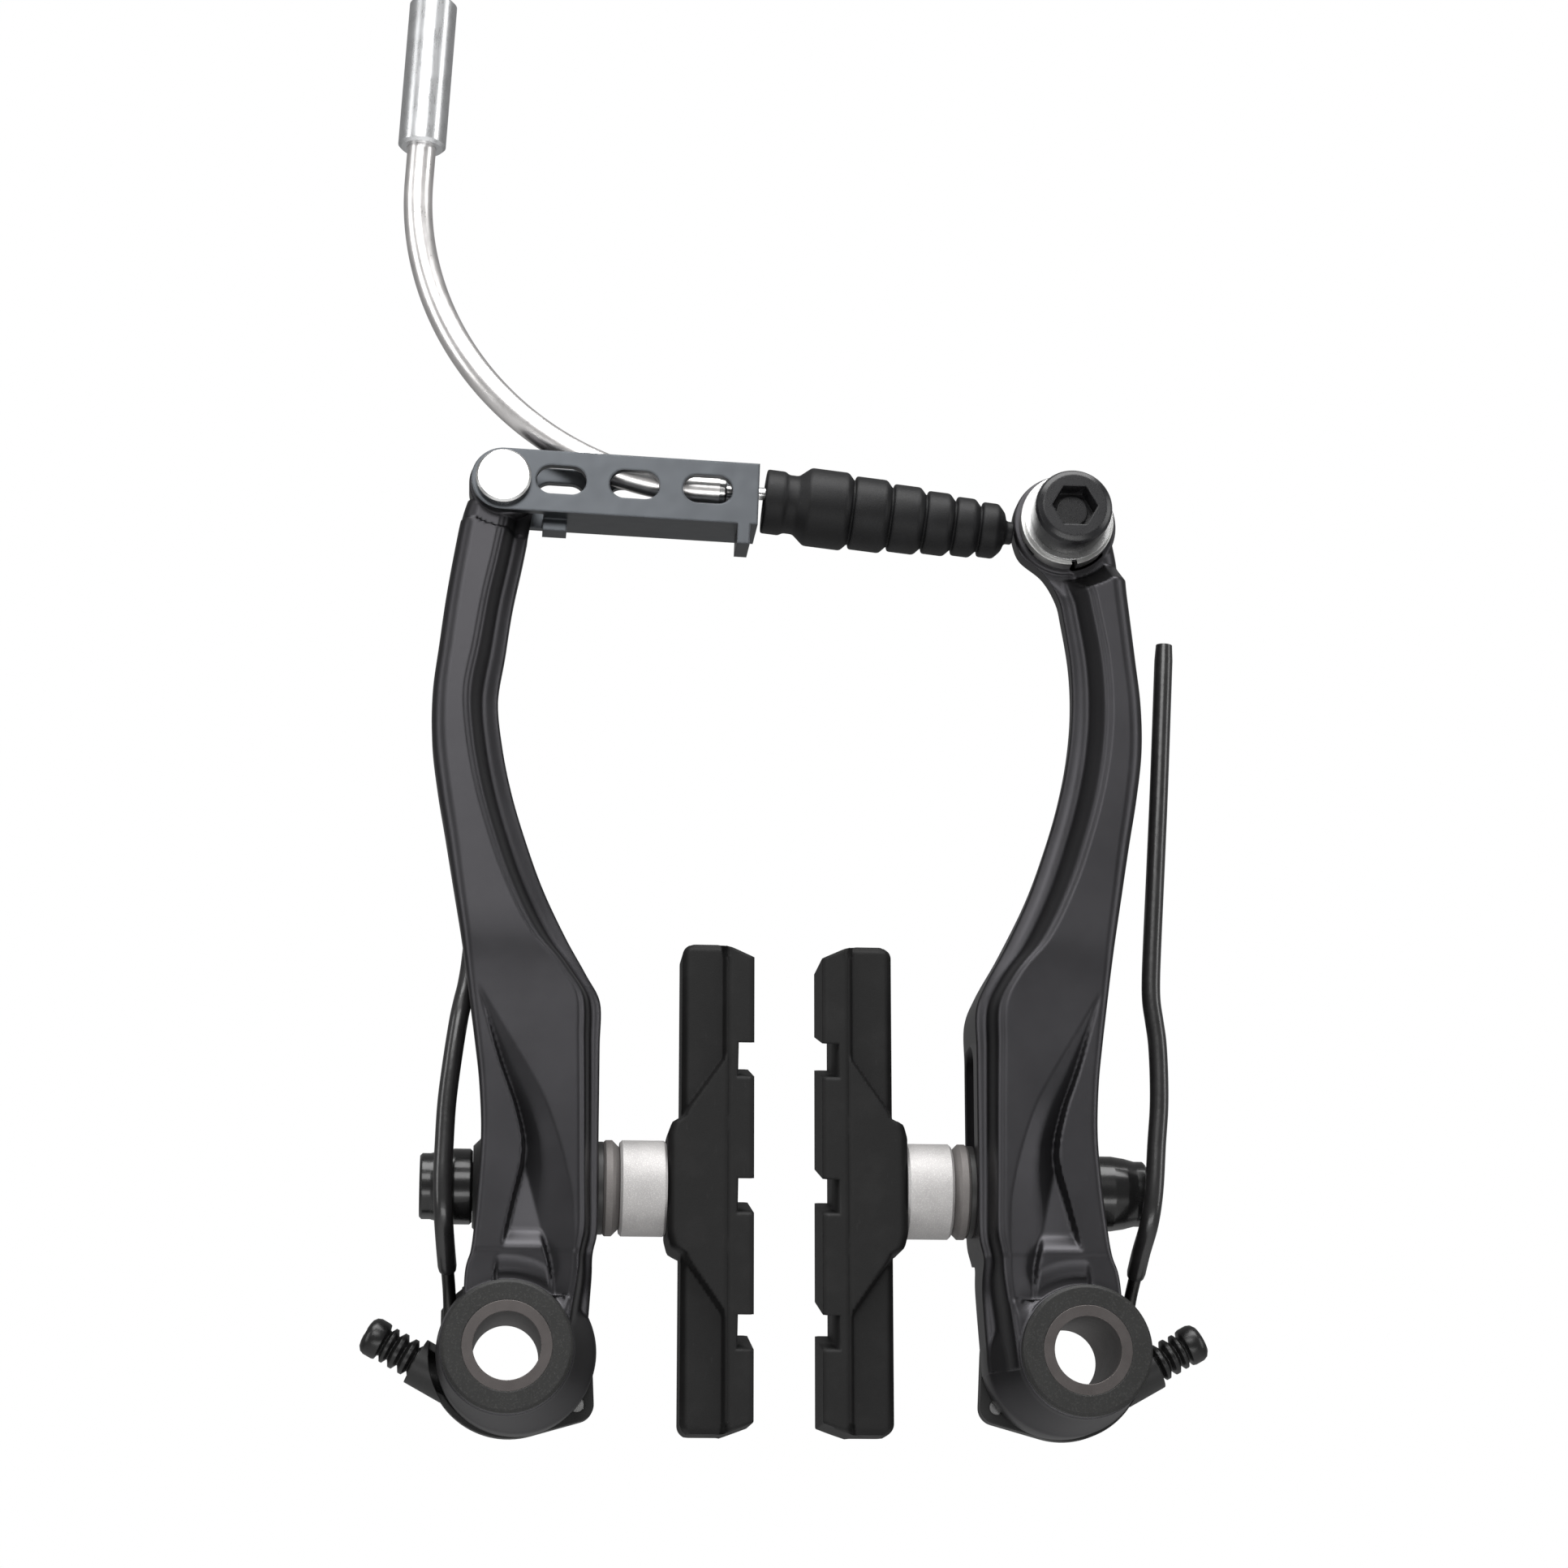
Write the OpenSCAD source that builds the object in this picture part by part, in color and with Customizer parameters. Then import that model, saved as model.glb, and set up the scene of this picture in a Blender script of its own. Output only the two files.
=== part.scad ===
// Linear-pull rim brake for a bicycle: two arms on their pivots, the link,
// the bent lead pipe with its ferrule, the rubber boot, the cable clamp,
// the return springs and the pads.
// +X is to the right, -Y is the front and +Z is up. The origin lies midway
// between the two frame studs, in the plane of the stud shoulders.
// A "depth" is a distance in front of that plane. On each side "out" is
// measured away from the wheel, starting at that side's pivot axis.

/* [Pivots] */
// Distance between the two frame studs
stud_spacing = 68.8; // [66:0.2:84]
// Bore that slides over the frame stud
stud_bore = 8.05; // [7.8:0.05:8.4]
// Wall of the pivot sleeve
sleeve_wall = 1.3; // [1.1:0.05:1.5]
// Length of the pivot sleeve
sleeve_length = 18.5; // [18:0.1:22]
// Diameter of the cap ring in front of each arm
cap_d = 15.6; // [14.6:0.1:16]
// Thickness of the cap ring
cap_t = 1.6; // [1.2:0.1:1.6]
// Diameter of the arm's boss at its front
boss_d = 16; // [15.6:0.1:16.4]
// Diameter of the heel that the boss widens to at its rear
heel_d = 19.2; // [18.8:0.1:19.6]

/* [Arms] */
// Height of the link rivet above the left pivot
arm_length = 107.1; // [104:0.1:112]
// How far the clamp bolt lies below the link rivet
clamp_drop = 2.5; // [0:0.1:4]
// How far the link rivet lies outside the left pivot
rivet_out = 2.4; // [2.2:0.05:2.6]
// Diameter of the eye at the top of the left arm
eye_d = 8.5; // [8.2:0.1:8.8]
// Diameter of the head at the top of the right arm
head_d = 13.2; // [12.8:0.1:13.6]
// How far both arms sway to the left above their feet
arm_sway = 0.9; // [0.6:0.05:1.1]
// Depth of the arm's front face
front_depth = 17.4; // [17.2:0.05:17.6]
// Depth of the step in which the triangular recess is sunk
recess_depth = 2; // [1:0.1:2.4]
// Width of the slot that the pad post passes through
slot_width = 6.2; // [6.1:0.05:6.4]
// Travel of the pad post in its slot
slot_travel = 15; // [8:0.5:15]

/* [Spring] */
// Diameter of the spring wire
wire_d = 1.6; // [1.4:0.1:1.6]
// Outer diameter of the sleeve on the spring leg
wire_sleeve_d = 2.3; // [2.2:0.1:2.4]
// Radius of the coil round the pivot
coil_r = 7.15; // [7:0.05:7.4]
// Diameter of the pin that the spring leg bears on
hook_d = 2.8; // [2.6:0.1:3]
// Thickness of the spring plate
plate_t = 0.7; // [0.5:0.1:0.8]
// Diameter of the spring plate
plate_d = 20; // [19.6:0.1:20.4]
// Diameter of the pin that stops the plate on the frame
stop_pin_d = 1.9; // [1.6:0.1:2]
// How far the stop pin stands out behind
stop_pin_reach = 4.5; // [3:0.5:6]
// Diameter of the tension screw's thread
adjuster_d = 4; // [3.6:0.1:4.2]
// Length of the tension screw's thread
adjuster_length = 5.4; // [5:0.1:6]
// Diameter of the tension screw's head
adjuster_head_d = 4.8; // [4.6:0.1:5]
// Length of the tension screw's head
adjuster_head_t = 2.6; // [2.2:0.1:2.8]

/* [Pads] */
// Height of the pad post above the pivots
post_height = 20.3; // [20:0.1:21]
// Depth of the pad post
post_depth = 5.6; // [5.4:0.05:5.8]
// Diameter of the pad post
post_d = 5.9; // [5.6:0.05:5.9]
// Length of the pad
pad_length = 59.6; // [50:0.2:64]
// Thickness of the pad's rubber
pad_t = 8.75; // [8:0.05:9.2]
// Width of the pad from front to rear
pad_w = 11; // [10:0.1:11.4]
// How far the pad's back bulges round the post
pad_bulge = 1.7; // [1:0.1:2.2]
// Depth of the cuts across the pad's face
cut_depth = 1.6; // [0.8:0.1:2]
// Diameter of the washers and the spacer
washer_d = 11.7; // [11.2:0.1:11.8]
// Thickness of the dished washer against the arm
cup_t = 0.7; // [0.6:0.05:0.8]
// Thickness of the domed washer
dome_t = 2; // [1.8:0.1:2.2]
// Thickness of the spacer behind the pad
spacer_t = 5.7; // [3:0.1:6.4]
// Diameter of the pad nut
nut_d = 9.2; // [8.8:0.1:9.4]
// Length of the pad nut
nut_length = 6.4; // [6:0.1:7]

/* [Link and cable parts] */
// Height of the link's side plates
link_height = 8; // [7.8:0.1:8.2]
// Width of the link over both plates
link_width = 8; // [7.8:0.05:8.2]
// Thickness of the link's sheet
sheet_t = 1.2; // [1:0.05:1.2]
// Length of the link from its rivet to its end plate
link_length = 31.9; // [31:0.1:33]
// Downward slope of the link
link_slope = 2.1; // [1.8:0.1:2.4]
// Length of each window in the link
window_length = 6.25; // [5:0.05:6.4]
// Height of each window in the link
window_height = 3.7; // [3:0.05:3.8]
// Diameter of the link rivet's head
rivet_head_d = 6.9; // [6.5:0.1:7.2]
// Diameter of the link rivet's shank
rivet_d = 4; // [3.6:0.1:4.2]
// Diameter of the lead pipe
pipe_d = 3.65; // [3.4:0.05:3.8]
// Bore of the lead pipe
pipe_bore = 2.3; // [2:0.05:2.4]
// Radius of the lead pipe's bend
pipe_bend_r = 38.3; // [36:0.1:40]
// Angle of the lead pipe's bend
pipe_bend = 90.9; // [86:0.1:92]
// Diameter of the ferrule on the lead pipe
ferrule_d = 6.1; // [6:0.05:6.4]
// Length of the ferrule
ferrule_length = 20.3; // [18:0.1:22]
// Diameter of the nose at the end of the lead pipe
nose_d = 1.6; // [1.5:0.05:2]
// Largest diameter of the boot
boot_d = 9.9; // [9.4:0.1:10.2]
// Downward slope of the boot
boot_slope = 6.15; // [5.5:0.05:6.5]
// Diameter of the clamp bolt's head
bolt_head_d = 9.7; // [9.2:0.1:10]
// Length of the clamp bolt's head
bolt_head_t = 4.9; // [4.4:0.1:5.2]
// Diameter of the clamp bolt's shank
bolt_d = 5.9; // [5.6:0.05:5.9]
// Diameter of the clamp plate
clamp_plate_d = 11.8; // [11.4:0.1:12]
// Thickness of the clamp plate
clamp_plate_t = 2.1; // [1.8:0.1:2.2]
// Diameter of the clamp washer
clamp_washer_d = 11.2; // [10.8:0.1:11.4]
// Thickness of the clamp washer
clamp_washer_t = 1; // [0.8:0.1:1.2]

/* [Hidden] */

LEFT = -1;
RIGHT = 1;
$fn = 96;
eps = 0.01;

// Clearances
seat_gap = 0.02;
running_gap = 0.05;
body_gap = 0.3;
washer_gap = 0.1;

// Pivot, from the stud shoulder forwards
sleeve_r = stud_bore / 2 + sleeve_wall;
cap_depth = sleeve_length - cap_t;
boss_front = cap_depth - body_gap;
plate_depth = 0.2;
coil_depth = plate_depth + plate_t + body_gap + wire_d / 2 - 0.1;
rim_depth = coil_depth + wire_d / 2 + 0.1;
boss_rear = rim_depth + body_gap;
heel_depth = 9;
heel_shift = 1.2;
foot_rear = boss_rear + 0.3;

// Walls of the lower arm
wall_rear = 0.8;
wall_front = post_depth + washer_d / 2 + body_gap;
seat_in = 11.3;
seat_out = 1;
wall_foot = boss_d / 2 + 3.4;
seat_foot = post_height - washer_d / 2 - 0.05;
slot_top = post_height + slot_travel;

// Levels of the link, the cable and the clamp
link_front = 17.6;
link_mid = link_front - link_width / 2;
eye_half = link_width / 2 - sheet_t - body_gap;
eye_front = link_mid + eye_half;
eye_rear = link_mid - eye_half;
eye_step_r = link_height / 2 + 1.6;
head_face = link_mid - 0.9;
head_rear = 6;
clamp_height = arm_length - clamp_drop;
clamp_out = 0.1;
clamp_step_r = clamp_plate_d / 2 + 3.5;
plate_front = head_face + seat_gap + clamp_plate_t;
washer_front = plate_front + seat_gap + clamp_washer_t;
bolt_front = washer_front + seat_gap + bolt_head_t;
rivet_head_t = 1.3;

// The arm's outline at chosen heights: height, outer edge, inner edge,
// outer face of the rear wall. The inner edge is measured towards the wheel.
BLADE_ROWS = [
    [0.4, 5, 10, 4.4],
    [8, 4.8, 10.7, 3.2],
    [wall_foot, 4, 10.75, 1.4],
    [13.4, 3.75, 11.2, seat_out],
    [seat_foot, 3.6, seat_in, seat_out],
    [20, 3.1, seat_in, seat_out],
    [26, 2.8, seat_in, seat_out],
    [32, 3.1, seat_in, seat_out],
    [37, 3.7, seat_in, seat_out],
    [42, 4.4, seat_in, seat_out],
    [45.5, 4.9, 9.75, seat_out],
    [50, 5.6, 7.25, 1.5],
    [56, 6.65, 4.4, 2.2],
    [62, 7.7, 2.2, 3],
    [68, 8.8, 0.35, 4],
    [74, 9.6, -0.95, 5],
    [80, 9.65, -1.6, 5],
];
EYE_ROWS = [
    [86, 9, -0.8, 5],
    [92, 8.3, 0, 4.5],
    [98, 7.4, 1.15, 4],
    [103, 6.5, 2, 3],
    [106.5, 5.2, 2.4, 2],
];
HEAD_ROWS = [
    [86, 9.1, -1.5, 5],
    [92, 8.5, -0.65, 4.5],
    [95, 8.2, 0, 4],
    [98, 8, 1.7, 3],
    [100.5, 7.75, 4.6, 2],
    [103.5, 7.2, 5.6, 1],
];
drawn_eye = 107.1;
drawn_head = 104.6;
// The arm's levels at chosen heights: height, rear of the wall, rear of the
// outer rail, start of the inner flank, front face, inset of the flank,
// inset of the outer bevel
LEVEL_ROWS = [
    [0, foot_rear, foot_rear, 9, boss_front, 2.75, 0.4],
    [4, foot_rear, foot_rear, 9, boss_front, 2.4, 0.45],
    [8, foot_rear, 8, 9.4, boss_front, 2, 0.5],
    [wall_foot, foot_rear, wall_front, wall_front, boss_front, 1.8, 0.6],
    [13.6, wall_rear, wall_front, wall_front, boss_front, 1.8, 0.7],
    [42, wall_rear, wall_front, wall_front, front_depth - 0.3, 2.8, 0.9],
    [50, 4.2, 11.4, 11.6, front_depth, 3.8, 1.2],
    [56, 8, 10.6, 11.4, front_depth, 3.5, 1.4],
    [62, 9.6, 9.8, 11.2, front_depth, 3.4, 1.6],
    [74, 9.8, 9.8, 11.4, front_depth, 2.6, 1.8],
    [92, 9.8, 9.8, 12.2, front_depth, 1.8, 1.9],
    [120, 9.8, 9.8, 12.2, front_depth, 1.6, 1.9],
];
// Outline of the recess in the arm's lower front face: out, height
RECESS = [
    [4.4, 45], [-5.9, 25.3], [-9, 17.3], [-9.3, 12.5], [-5.3, 10.7],
    [1.4, 11.6], [-0.4, 18.3], [-1.7, 25.3], [1.4, 36],
];
blade_top = 45.5;
rows_per_station = 3;

// Route of the spring leg beyond the coil: out, depth, height
HOOKED_LEG = [
    [7.05, 1.95, 2.7], [6.85, 2.05, 5.2], [6.95, 3.3, 7.8], [7.2, 5.6, 10.2],
    [7.5, 8.4, 12.8], [7.8, 11, 16], [8, 11.8, 20], [7.9, 11.8, 24.6],
    [7.7, 11.8, 29.5], [7.2, 11.8, 34.4], [6.55, 11.5, 39.4], [6.1, 10.9, 42],
    [5.6, 10.1, 44.4], [5.2, 9.3, 47.5], [4.9, 8.6, 52], [4.8, 8.4, 60],
    [4.7, 8.4, 74], [4.6, 8.4, 89],
];
FREE_LEG = [
    [7.3, 1.95, 2.7], [7.7, 2.05, 5.2], [8, 3.3, 7.8], [8.25, 5.6, 10.2],
    [8.5, 8.4, 12.8], [9.1, 11, 16], [9.65, 11.8, 20], [10.1, 11.8, 25.6],
    [10.5, 11.8, 30], [10.6, 11.8, 34], [10.5, 11.8, 38.1], [10.2, 11.8, 40.8],
    [9.9, 11.8, 43.3], [9.9, 11.8, 46], [10.2, 11.8, 51], [10.9, 11.8, 61.1],
    [11.6, 11.8, 71.6], [12.65, 11.8, 89.2],
];
sleeve_start = 3;
coil_start = 64;
coil_step = 16;
wire_sides = 10;

// Tension screw: where its axis leaves the block, and its slope
adjuster_out = 10.8;
adjuster_z = -0.5;
adjuster_slope = 29;
adjuster_depth = 2.2;
block_d = 5.8;
block_length = 5;
screw_tip = 1;
arm_sweep_r = 9.3;

// Spring plate's centre, the stop pin and its lobe
plate_in = 0.5;
plate_z = 0.3;
rim_t = 0.7;
stop_in = 8.7;
stop_z = -5.6;
lobe_r = 2.1;

// Pad, measured along the post from the arm's inner seat
cup_in = seat_in + seat_gap;
dome_in = cup_in + cup_t + seat_gap;
spacer_in = dome_in + dome_t + seat_gap;
bulge_in = spacer_in + spacer_t + seat_gap;
back_in = bulge_in + pad_bulge;
face_in = back_in + pad_t;
post_end_in = bulge_in + 4;
cut_heights = [15.2, -1.45, -17.85];
cut_w = 4.2;
cut_slope = 14;

// Outer stack, measured outwards from the wall
outer_cup_out = seat_out + seat_gap;
outer_dome_out = outer_cup_out + cup_t + seat_gap;
nut_out = outer_dome_out + dome_t + seat_gap;
post_end_out = nut_out + nut_length - 3.2;

// Link and lead pipe, in the link's own frame
rivet_x = -(stud_spacing / 2 + rivet_out);
tip_rise = 1.4;
tip_x = link_length - sheet_t - 2.7;
bend_x = tip_x - 2.7;
window_start = 7.2;
window_end = 6.4;
window_pitch = (link_length - window_start - window_end) / 2;
pipe_r = pipe_d / 2;
pipe_top = 4.75;
pipe_grip = 8;
nose_flange = 0.9;
nose_reach = 2.5;
pipe_steps = 30;
housing_bore = 5.1;

// Boot, from the link's end plate to the clamp plate
boot_start_x = rivet_x + link_length + 0.9;
boot_start_z = arm_length - 0.75;
clamp_x = stud_spacing / 2 + clamp_out;
boot_end_x = clamp_x - head_d / 2 - body_gap;
boot_length = (boot_end_x - boot_start_x) / cos(boot_slope);

function smooth(a, b, c, d, t) =
    0.5 * (2 * b + (c - a) * t + (2 * a - 5 * b + 4 * c - d) * t * t
    + (3 * b - a - 3 * c + d) * t * t * t);
function clamped(list, i) = list[max(0, min(len(list) - 1, i))];
// Points of a smooth curve through a list, with steps between neighbours
function smooth_path(list, steps) = [
    for (i = [0 : len(list) - 2], k = [0 : steps - 1])
        smooth(clamped(list, i - 1), list[i], list[i + 1], clamped(list, i + 2), k / steps),
    list[len(list) - 1],
];
// A row of a table at a height, worked out in a straight line
function level_at(z, i = 0) =
    z <= LEVEL_ROWS[i + 1][0] || i == len(LEVEL_ROWS) - 2
    ? LEVEL_ROWS[i] + (LEVEL_ROWS[i + 1] - LEVEL_ROWS[i])
        * max(0, (z - LEVEL_ROWS[i][0]) / (LEVEL_ROWS[i + 1][0] - LEVEL_ROWS[i][0]))
    : level_at(z, i + 1);
// The upper arm stretches with the arm, the lower arm keeps its sizes
function stretched(z, length, drawn) =
    z <= blade_top ? z : blade_top + (z - blade_top) * (length - blade_top) / (drawn - blade_top);

// How far an arm sways outwards at a height, which is even behind the washers
function sway(side, z) = -side * arm_sway * (1 - exp(-z / 16));
function seat_sway(side) = sway(side, post_height);

// Cross-section of the arm: points of out and depth round the metal
function arm_section(row, side_sign) =
    let (
        z = row[0],
        level = level_at(z),
        shift = sway(side_sign, z),
        even = z > 43 ? shift : seat_sway(side_sign),
        outer = row[1] + shift,
        inner = -row[2] + even,
        wall = row[3] + even,
        rear = level[1],
        rail = max(level[2], rear + 0.2),
        side = level[3],
        front = level[4],
        inset = level[5],
        bevel = level[6]
    )
    [
        [inner, rear],
        [inner, side],
        [inner + 0.18 * inset, side + 0.5 * (front - side)],
        [inner + 0.55 * inset, side + 0.86 * (front - side)],
        [inner + inset, front],
        [outer - bevel, front],
        [outer - 0.35 * bevel, front - 0.3 * bevel],
        [outer, front - 1.1 * bevel],
        [outer, rail],
        [wall, rail],
        [wall, rear],
    ];

// Solid through a list of rings with the same number of points
module skin(rings) {
    n = len(rings[0]);
    m = len(rings);
    faces = [
        [for (i = [0 : n - 1]) i],
        for (j = [0 : m - 2], i = [0 : n - 1]) each [
            [j * n + i, (j + 1) * n + i, j * n + (i + 1) % n],
            [j * n + (i + 1) % n, (j + 1) * n + i, (j + 1) * n + (i + 1) % n],
        ],
        [for (i = [n - 1 : -1 : 0]) (m - 1) * n + i],
    ];
    polyhedron([for (ring = rings) each ring], faces, convexity = 6);
}

// Directions of a path's rings
function unit(v) = v / norm(v);
function direction(a) = [cos(a), sin(a)];
function heading(path, i) =
    unit(path[min(i + 1, len(path) - 1)] - path[max(i - 1, 0)]);
function wire_ring(p, t, r, sides) =
    let (
        side = unit(cross(t, [0, 1, 0])),
        up = cross(side, t)
    )
    [for (k = [0 : sides - 1])
        p + r * (side * cos(360 * k / sides) + up * sin(360 * k / sides))];

// Round wire along a path
module wire(path, r) {
    skin([for (i = [0 : len(path) - 1]) wire_ring(path[i], heading(path, i), r, wire_sides)]);
}

// Hollow tube along a path
module tube(path, outer_r, inner_r, sides) {
    last = len(path) - 1;
    rings = [
        for (i = [0 : last]) wire_ring(path[i], heading(path, i), outer_r, sides),
        for (i = [last : -1 : 0]) wire_ring(path[i], heading(path, i), inner_r, sides),
    ];
    m = len(rings);
    polyhedron(
        [for (ring = rings) each ring],
        [for (j = [0 : m - 1], i = [0 : sides - 1]) each [
            [j * sides + i, ((j + 1) % m) * sides + i, j * sides + (i + 1) % sides],
            [j * sides + (i + 1) % sides, ((j + 1) % m) * sides + i,
                ((j + 1) % m) * sides + (i + 1) % sides],
        ]],
        convexity = 8
    );
}

// Places of the pieces
module side_of(side) {
    translate([side * stud_spacing / 2, 0, 0])
        mirror([side == LEFT ? 1 : 0, 0, 0])
            children();
}
module forward(depth) {
    translate([0, -depth, 0])
        rotate([90, 0, 0])
            children();
}
module post_inward(side, distance) {
    translate([seat_sway(side) - distance, -post_depth, post_height])
        rotate([0, -90, 0])
            children();
}
module post_outward(side, distance) {
    translate([seat_sway(side) + distance, -post_depth, post_height])
        rotate([0, 90, 0])
            children();
}
module at_link() {
    translate([rivet_x, 0, arm_length])
        rotate([0, link_slope, 0])
            children();
}
module at_pipe_top() {
    turn = pipe_bend - 90;
    at_link()
        translate([bend_x - pipe_bend_r * cos(turn), -link_mid,
                tip_rise + pipe_bend_r * (1 + sin(turn))])
            rotate([0, turn, 0])
                children();
}
module at_boot() {
    translate([boot_start_x, -link_mid, boot_start_z])
        rotate([0, 90 + boot_slope, 0])
            children();
}
module at_adjuster() {
    translate([adjuster_out, -adjuster_depth, adjuster_z])
        rotate([0, -90 - adjuster_slope, 0])
            children();
}

// Ring between two radii
module ring(outer_r, inner_r, h) {
    difference() {
        cylinder(r = outer_r, h = h);
        translate([0, 0, -1])
            cylinder(r = inner_r, h = h + 2);
    }
}

module pivot_sleeve(side) {
    color("dimgray")
        side_of(side)
            forward(0)
                ring(sleeve_r, stud_bore / 2, sleeve_length);
}

module cap_ring(side) {
    edge = 0.35;
    color("black")
        side_of(side)
            forward(cap_depth)
                rotate_extrude()
                    polygon([
                        [sleeve_r + seat_gap, 0], [cap_d / 2, 0],
                        [cap_d / 2, cap_t - edge], [cap_d / 2 - edge, cap_t],
                        [sleeve_r + seat_gap, cap_t],
                    ]);
}

// Round plate with a lobe, joined along the common tangents
module plate_outline() {
    middle = [-plate_in, plate_z];
    lobe = [-stop_in, stop_z];
    across = lobe - middle;
    aim = atan2(across[1], across[0]);
    turn = acos((plate_d / 2 - lobe_r) / norm(across));
    translate(middle)
        circle(d = plate_d);
    translate(lobe)
        circle(r = lobe_r);
    polygon([
        middle + plate_d / 2 * direction(aim - turn), lobe + lobe_r * direction(aim - turn),
        lobe + lobe_r * direction(aim + turn), middle + plate_d / 2 * direction(aim + turn),
    ]);
}

// Spring plate: a shallow cup, open on the side where the spring leg leaves
module plate_cup() {
    opening_z = -1.5;
    rim_opening = 5.4;
    sheet_edge = 7.9;
    difference() {
        forward(plate_depth)
            linear_extrude(rim_depth - plate_depth)
                plate_outline();
        forward(plate_depth + plate_t)
            translate([-plate_in, plate_z])
                cylinder(r = plate_d / 2 - rim_t, h = rim_depth);
        forward(plate_depth + plate_t)
            translate([rim_opening, opening_z])
                cube([plate_d, plate_d, rim_depth]);
        forward(-1)
            translate([sheet_edge, opening_z])
                cube([plate_d, plate_d, rim_depth + 2]);
    }
}

module spring_plate(side) {
    coil_room = coil_r + wire_d / 2 + body_gap;
    color("black")
        side_of(side)
            difference() {
                union() {
                    plate_cup();
                    at_adjuster()
                        cylinder(d = block_d, h = block_length);
                }
                forward(-1)
                    cylinder(r = sleeve_r + seat_gap, h = rim_depth + 2);
                forward(plate_depth + plate_t)
                    cylinder(r = coil_room, h = rim_depth);
                forward(rim_depth)
                    cylinder(r = arm_sweep_r, h = sleeve_length);
                forward(-sleeve_length)
                    translate([0, 0, -1])
                        cylinder(r = plate_d + 10, h = sleeve_length + 1);
                forward(-1)
                    translate([-stop_in, stop_z])
                        cylinder(r = stop_pin_d / 2 + seat_gap, h = rim_depth + 2);
                at_adjuster()
                    translate([0, 0, -1])
                        cylinder(r = adjuster_d / 2 + running_gap, h = block_length + 2);
            }
}

module stop_pin(side) {
    color("silver")
        side_of(side)
            forward(-stop_pin_reach)
                translate([-stop_in, stop_z])
                    cylinder(d = stop_pin_d, h = stop_pin_reach + rim_depth - 0.5);
}

function coil_points() = [
    for (a = [coil_start : coil_step : 359])
        [coil_r * cos(a), -coil_depth, coil_r * sin(a)],
    [coil_r, -coil_depth, 0],
];
function leg_points(side) =
    [for (p = side == LEFT ? HOOKED_LEG : FREE_LEG) [p[0], -p[1], p[2]]];

module return_spring(side) {
    leg = smooth_path(leg_points(side), 2);
    color("dimgray")
        side_of(side)
            wire(concat(coil_points(), leg), wire_d / 2);
}

module spring_sleeve(side) {
    leg = smooth_path(leg_points(side), 2);
    path = [for (i = [sleeve_start * 2 : len(leg) - 1]) leg[i]];
    color("black")
        side_of(side)
            tube(path, wire_sleeve_d / 2, wire_d / 2 + seat_gap, wire_sides);
}

module tension_screw(side) {
    total = adjuster_length + adjuster_head_t;
    color("black")
        side_of(side)
            at_adjuster()
                translate([0, 0, screw_tip - total])
                    difference() {
                        rotate_extrude()
                            polygon([
                                [0, 0], [adjuster_head_d / 2 - 0.6, 0],
                                [adjuster_head_d / 2, 0.6],
                                [adjuster_head_d / 2, adjuster_head_t],
                                [adjuster_d / 2, adjuster_head_t],
                                [adjuster_d / 2, total - 0.4],
                                [adjuster_d / 2 - 0.4, total], [0, total],
                            ]);
                        for (turn = [0, 90])
                            rotate([0, 0, turn])
                                translate([-1.4, -0.35, -1])
                                    cube([2.8, 0.7, 2.2]);
                    }
}

// Front boss and rear heel that turn on the pivot sleeve
module arm_boss() {
    forward(heel_depth)
        cylinder(d = boss_d, h = boss_front - heel_depth);
    hull() {
        forward(boss_rear)
            translate([-heel_shift, 0])
                cylinder(d = heel_d, h = heel_depth - boss_rear, $fn = 64);
        forward(boss_rear)
            cylinder(d = boss_d, h = boss_front - boss_rear - 1.5, $fn = 64);
    }
}

module arm_blade(side, rows, drawn, length) {
    stations = smooth_path(concat(BLADE_ROWS, rows), rows_per_station);
    skin([for (row = stations)
        [for (p = arm_section(row, side))
            [p[0], -p[1], stretched(row[0], length, drawn)]]]);
}

// Slot for the pad post, through the arm's wall
module post_slot() {
    r = slot_width / 2;
    for (z = [post_height, slot_top])
        translate([-20, -post_depth, z])
            rotate([0, 90, 0])
                cylinder(r = r, h = 40);
    translate([-20, -post_depth - r, post_height])
        cube([40, slot_width, slot_travel]);
}

module arm_cuts(side) {
    forward(-1)
        cylinder(r = sleeve_r + running_gap, h = sleeve_length + 2);
    post_slot();
    forward(front_depth - recess_depth)
        translate([seat_sway(side), 0])
            linear_extrude(recess_depth + 2)
                polygon(RECESS);
}

module left_arm() {
    color([0.16, 0.16, 0.17])
        side_of(LEFT)
            difference() {
                union() {
                    arm_boss();
                    arm_blade(LEFT, EYE_ROWS, drawn_eye, arm_length);
                    forward(eye_rear)
                        translate([rivet_out, arm_length])
                            cylinder(d = eye_d, h = eye_front - eye_rear);
                }
                arm_cuts(LEFT);
                translate([rivet_out, 0, arm_length]) {
                    forward(eye_front)
                        cylinder(r = eye_step_r, h = 10);
                    forward(-10)
                        cylinder(r = eye_step_r, h = 10 + eye_rear);
                    forward(0)
                        cylinder(r = rivet_d / 2 + seat_gap, h = 30);
                }
            }
}

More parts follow.
